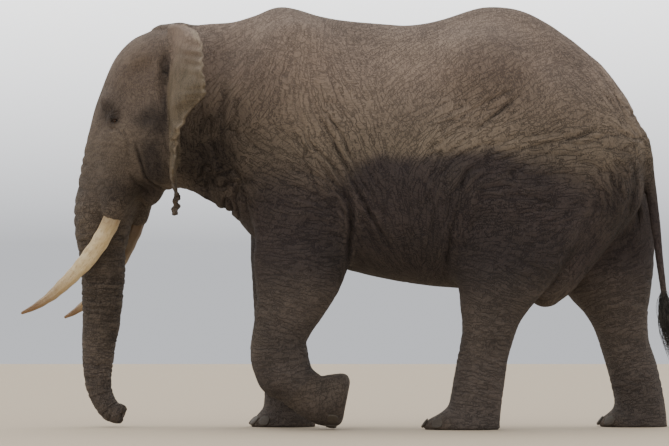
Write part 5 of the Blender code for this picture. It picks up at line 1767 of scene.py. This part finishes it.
def tuft_tree():
    tree = bpy.data.node_groups.new("tail_tuft", "GeometryNodeTree")
    for name, kind in TUFT_INPUTS.items():
        tree.interface.new_socket(name, in_out="INPUT", socket_type=kind)
    tree.interface.new_socket("Tuft", in_out="OUTPUT", socket_type="NodeSocketGeometry")
    given = node(tree, "NodeGroupInput")
    strands = straight_strands(tree, given)

    # a strand bellies out along its lean, ends a little out along it, and sweeps back
    down = node(tree, "GeometryNodeSplineParameter")["Factor"]
    lean = node(tree, "GeometryNodeInputNamedAttribute", {"Name": "lean"}, data_type="FLOAT_VECTOR")[0]
    early, late, ended, swept = (
        node(tree, MATH, (down, power), operation="POWER")[0] for power in (0.7, 2.2, 1.5, 1.3)
    )
    belly = node(tree, MATH, (early, late), operation="SUBTRACT")[0]
    widest, last, sweep, half_thick = (
        node(tree, MATH, (given[name], share), operation="MULTIPLY")[0]
        for name, share in (("Spread", 2.6), ("Spread", 0.35), ("Length", 0.14), ("Thickness", 0.5))
    )
    end = node(tree, MATH, (ended, last), operation="MULTIPLY")[0]
    push = node(tree, MATH, (belly, widest, end), operation="MULTIPLY_ADD")[0]
    back = node(tree, MATH, (swept, sweep), operation="MULTIPLY")[0]
    parts = node(tree, "ShaderNodeSeparateXYZ", (lean,))
    x = node(tree, MATH, (parts[0], push, back), operation="MULTIPLY_ADD")[0]
    flat_push = node(tree, MATH, (push, 0.42), operation="MULTIPLY")[0]
    y = node(tree, MATH, (parts[1], flat_push), operation="MULTIPLY")[0]
    offset = node(tree, "ShaderNodeCombineXYZ", (x, y))[0]
    strands = node(tree, "GeometryNodeSetPosition", {"Geometry": strands, "Offset": offset})[0]

    thin = node(tree, MATH, (down, -0.97, 1.0), operation="MULTIPLY_ADD")[0]
    thin = node(tree, MATH, (thin, 0.6), operation="POWER")[0]
    radius = node(tree, MATH, (thin, half_thick), operation="MULTIPLY")[0]
    strands = node(tree, "GeometryNodeSetCurveRadius", {"Curve": strands, "Radius": radius})[0]
    ring = node(tree, "GeometryNodeCurvePrimitiveCircle", {"Resolution": STRAND_SIDES, "Radius": 1.0})[0]
    inputs = {"Curve": strands, "Profile Curve": ring, "Fill Caps": True}
    inputs["Scale"] = node(tree, "GeometryNodeInputRadius")[0]
    solid = node(tree, "GeometryNodeCurveToMesh", inputs)[0]
    solid = node(tree, "GeometryNodeRealizeInstances", {"Geometry": solid})[0]
    solid = node(tree, "GeometryNodeSetMaterial", {"Geometry": solid, "Material": given["Finish"]})[0]
    node(tree, "NodeGroupOutput", {"Tuft": solid})
    return tree


print("the tuft's tree takes", list(TUFT_INPUTS))

# %% [markdown]
# ## Planting the hair
# The roots are scattered over a tube a little within the end of the tail, and the tree hangs a strand from
# each.

# %%
def bake_patches(mesh, per_strand, sides):
    """One UV patch for each strand, where its root lies round and down the tail."""
    points = places_of(mesh)
    roots = points[np.arange(0, len(points), per_strand)]
    middle = roots.mean(0)
    turn = np.arctan2(roots[:, 1] - middle[1], roots[:, 0] - middle[0]) / (2.0 * math.pi) + 0.5
    drop = (roots[:, 2] - roots[:, 2].min()) / np.ptp(roots[:, 2])
    corner = np.array([loop.vertex_index for loop in mesh.loops])
    strand, within = corner // per_strand, corner % per_strand
    count = per_strand // sides
    u = 0.01 + 0.975 * turn[strand] + 0.003 * (within % sides) / sides
    v = 0.01 + 0.975 * drop[strand] + 0.003 * (within // sides) / count
    layer = mesh.uv_layers.new(name="OFBake")
    layer.data.foreach_set("uv", np.stack([u, v], axis=1).astype(np.float32).ravel())


def tuft_core():
    """The end of the tail, a little within its skin, where the roots are scattered."""
    rings = [joint for joint in smooth_row(TAIL + (TAIL_END,), 6) if joint[2] < HAIR_FROM]
    points, faces = [], []
    for x, y, z, half_x, half_y in rings:
        for k in range(CORE_SIDES):
            turn = k * 2.0 * math.pi / CORE_SIDES
            out = (CORE_SHARE * half_x * math.cos(turn), CORE_SHARE * half_y * math.sin(turn))
            points.append((x + out[0], y + out[1], z))
    for first in range(0, CORE_SIDES * (len(rings) - 1), CORE_SIDES):
        for k in range(CORE_SIDES):
            a, b = first + k, first + (k + 1) % CORE_SIDES
            faces.append((a, b, b + CORE_SIDES, a + CORE_SIDES))
    faces.append(tuple(range(len(points) - CORE_SIDES, len(points))))
    return new_mesh("tuft_core", points, faces)


tuft = new_object("tail_tuft_hair", tuft_core())
rule = tuft.modifiers.new("tuft", "NODES")
rule.node_group = tuft_tree()
for item in rule.node_group.interface.items_tree:
    if item.item_type == "SOCKET" and item.name in TUFT_SETTINGS:
        rule[item.identifier] = TUFT_SETTINGS[item.name]
freeze(tuft)
for layer in list(tuft.data.attributes):
    if layer.name == "lean":
        tuft.data.attributes.remove(layer)
bake_patches(tuft.data, STRAND_POINTS * STRAND_SIDES, STRAND_SIDES)
finish_piece(tuft, wiry, ["tail_tuft"])
strands = len(tuft.data.vertices) // (STRAND_POINTS * STRAND_SIDES)
print("tuft:", strands, "strands,", triangles_of(tuft.data), "triangles")

# %% [markdown]
# ## Floor, light and camera
# A plain pale floor, an even sky, and one broad soft light above and a little in front. The camera stands far
# off at the bull's left, a metre and a quarter above the floor, with a long lens.

# %%
FLOOR_SIDE, FLOOR_NEAR, FLOOR_FAR = 60.0, -45.0, 27.0
corners = [
    (-FLOOR_SIDE, FLOOR_NEAR, 0.0), (FLOOR_SIDE, FLOOR_NEAR, 0.0), (FLOOR_SIDE, FLOOR_FAR, 0.0),
    (-FLOOR_SIDE, FLOOR_FAR, 0.0),
]
floor_mesh = new_mesh("floor", corners, [(0, 1, 2, 3)])
floor = new_object("floor", floor_mesh)
ground, _, shader, _ = new_material("floor_plain_pale")
shader.inputs["Base Color"].default_value = colour("#bfb09a")
shader.inputs["Roughness"].default_value = 0.95
floor_mesh.materials.append(ground)

world = bpy.data.worlds.new("overcast")
world.use_nodes = True
tree = world.node_tree
sky = node(tree, "ShaderNodeTexCoord")["Generated"]
up = node(tree, "ShaderNodeSeparateXYZ", (sky,))[2]
paler, brighter, faded, base = (
    node(tree, RANGE, (up, *row))[0]
    for row in ((0.0, 0.07), (0.005, 0.07, 0.25, 2.8), (0.09, 0.2, 1.0, 0.0), (0.0, 0.5, 0.75, 1.0))
)
tone = node(tree, MIX, {0: paler, 6: "#d8dadf", 7: "#f4f4f4"}, data_type="RGBA")[2]
strength = node(tree, MATH, (brighter, faded, base), operation="MULTIPLY_ADD")[0]
tree.links.new(tone, tree.nodes["Background"].inputs["Color"])
tree.links.new(strength, tree.nodes["Background"].inputs["Strength"])
bpy.context.scene.world = world

lamp_data = bpy.data.lights.new("soft_sky", "SUN")
lamp_data.energy = 2.0
lamp_data.angle = math.radians(70)
lamp_data.color = (1.0, 0.97, 0.93)
lamp = bpy.data.objects.new("soft_sky", lamp_data)
lamp.rotation_euler = (math.radians(-24), math.radians(-10), 0.0)
bpy.context.scene.collection.objects.link(lamp)

DISTANCE = 40.0          # metres from the lens to the bull's middle
VIEW_WIDTH = 5.252       # metres seen across the view at that distance
EYE_LEVEL = 1.25
aim = Vector((-0.122, 0.0, 1.609)) + CENTRING
camera_data = bpy.data.cameras.new("camera")
camera_data.sensor_width = 36.0
camera_data.lens = camera_data.sensor_width * DISTANCE / VIEW_WIDTH
camera_data.clip_end = 500.0
camera = bpy.data.objects.new("camera", camera_data)
camera.location = Vector((aim.x, aim.y - DISTANCE, EYE_LEVEL))
camera.rotation_euler = (aim - camera.location).to_track_quat("-Z", "Y").to_euler()
bpy.context.scene.collection.objects.link(camera)
bpy.context.scene.camera = camera
print("camera at", tuple(round(c, 2) for c in camera.location))
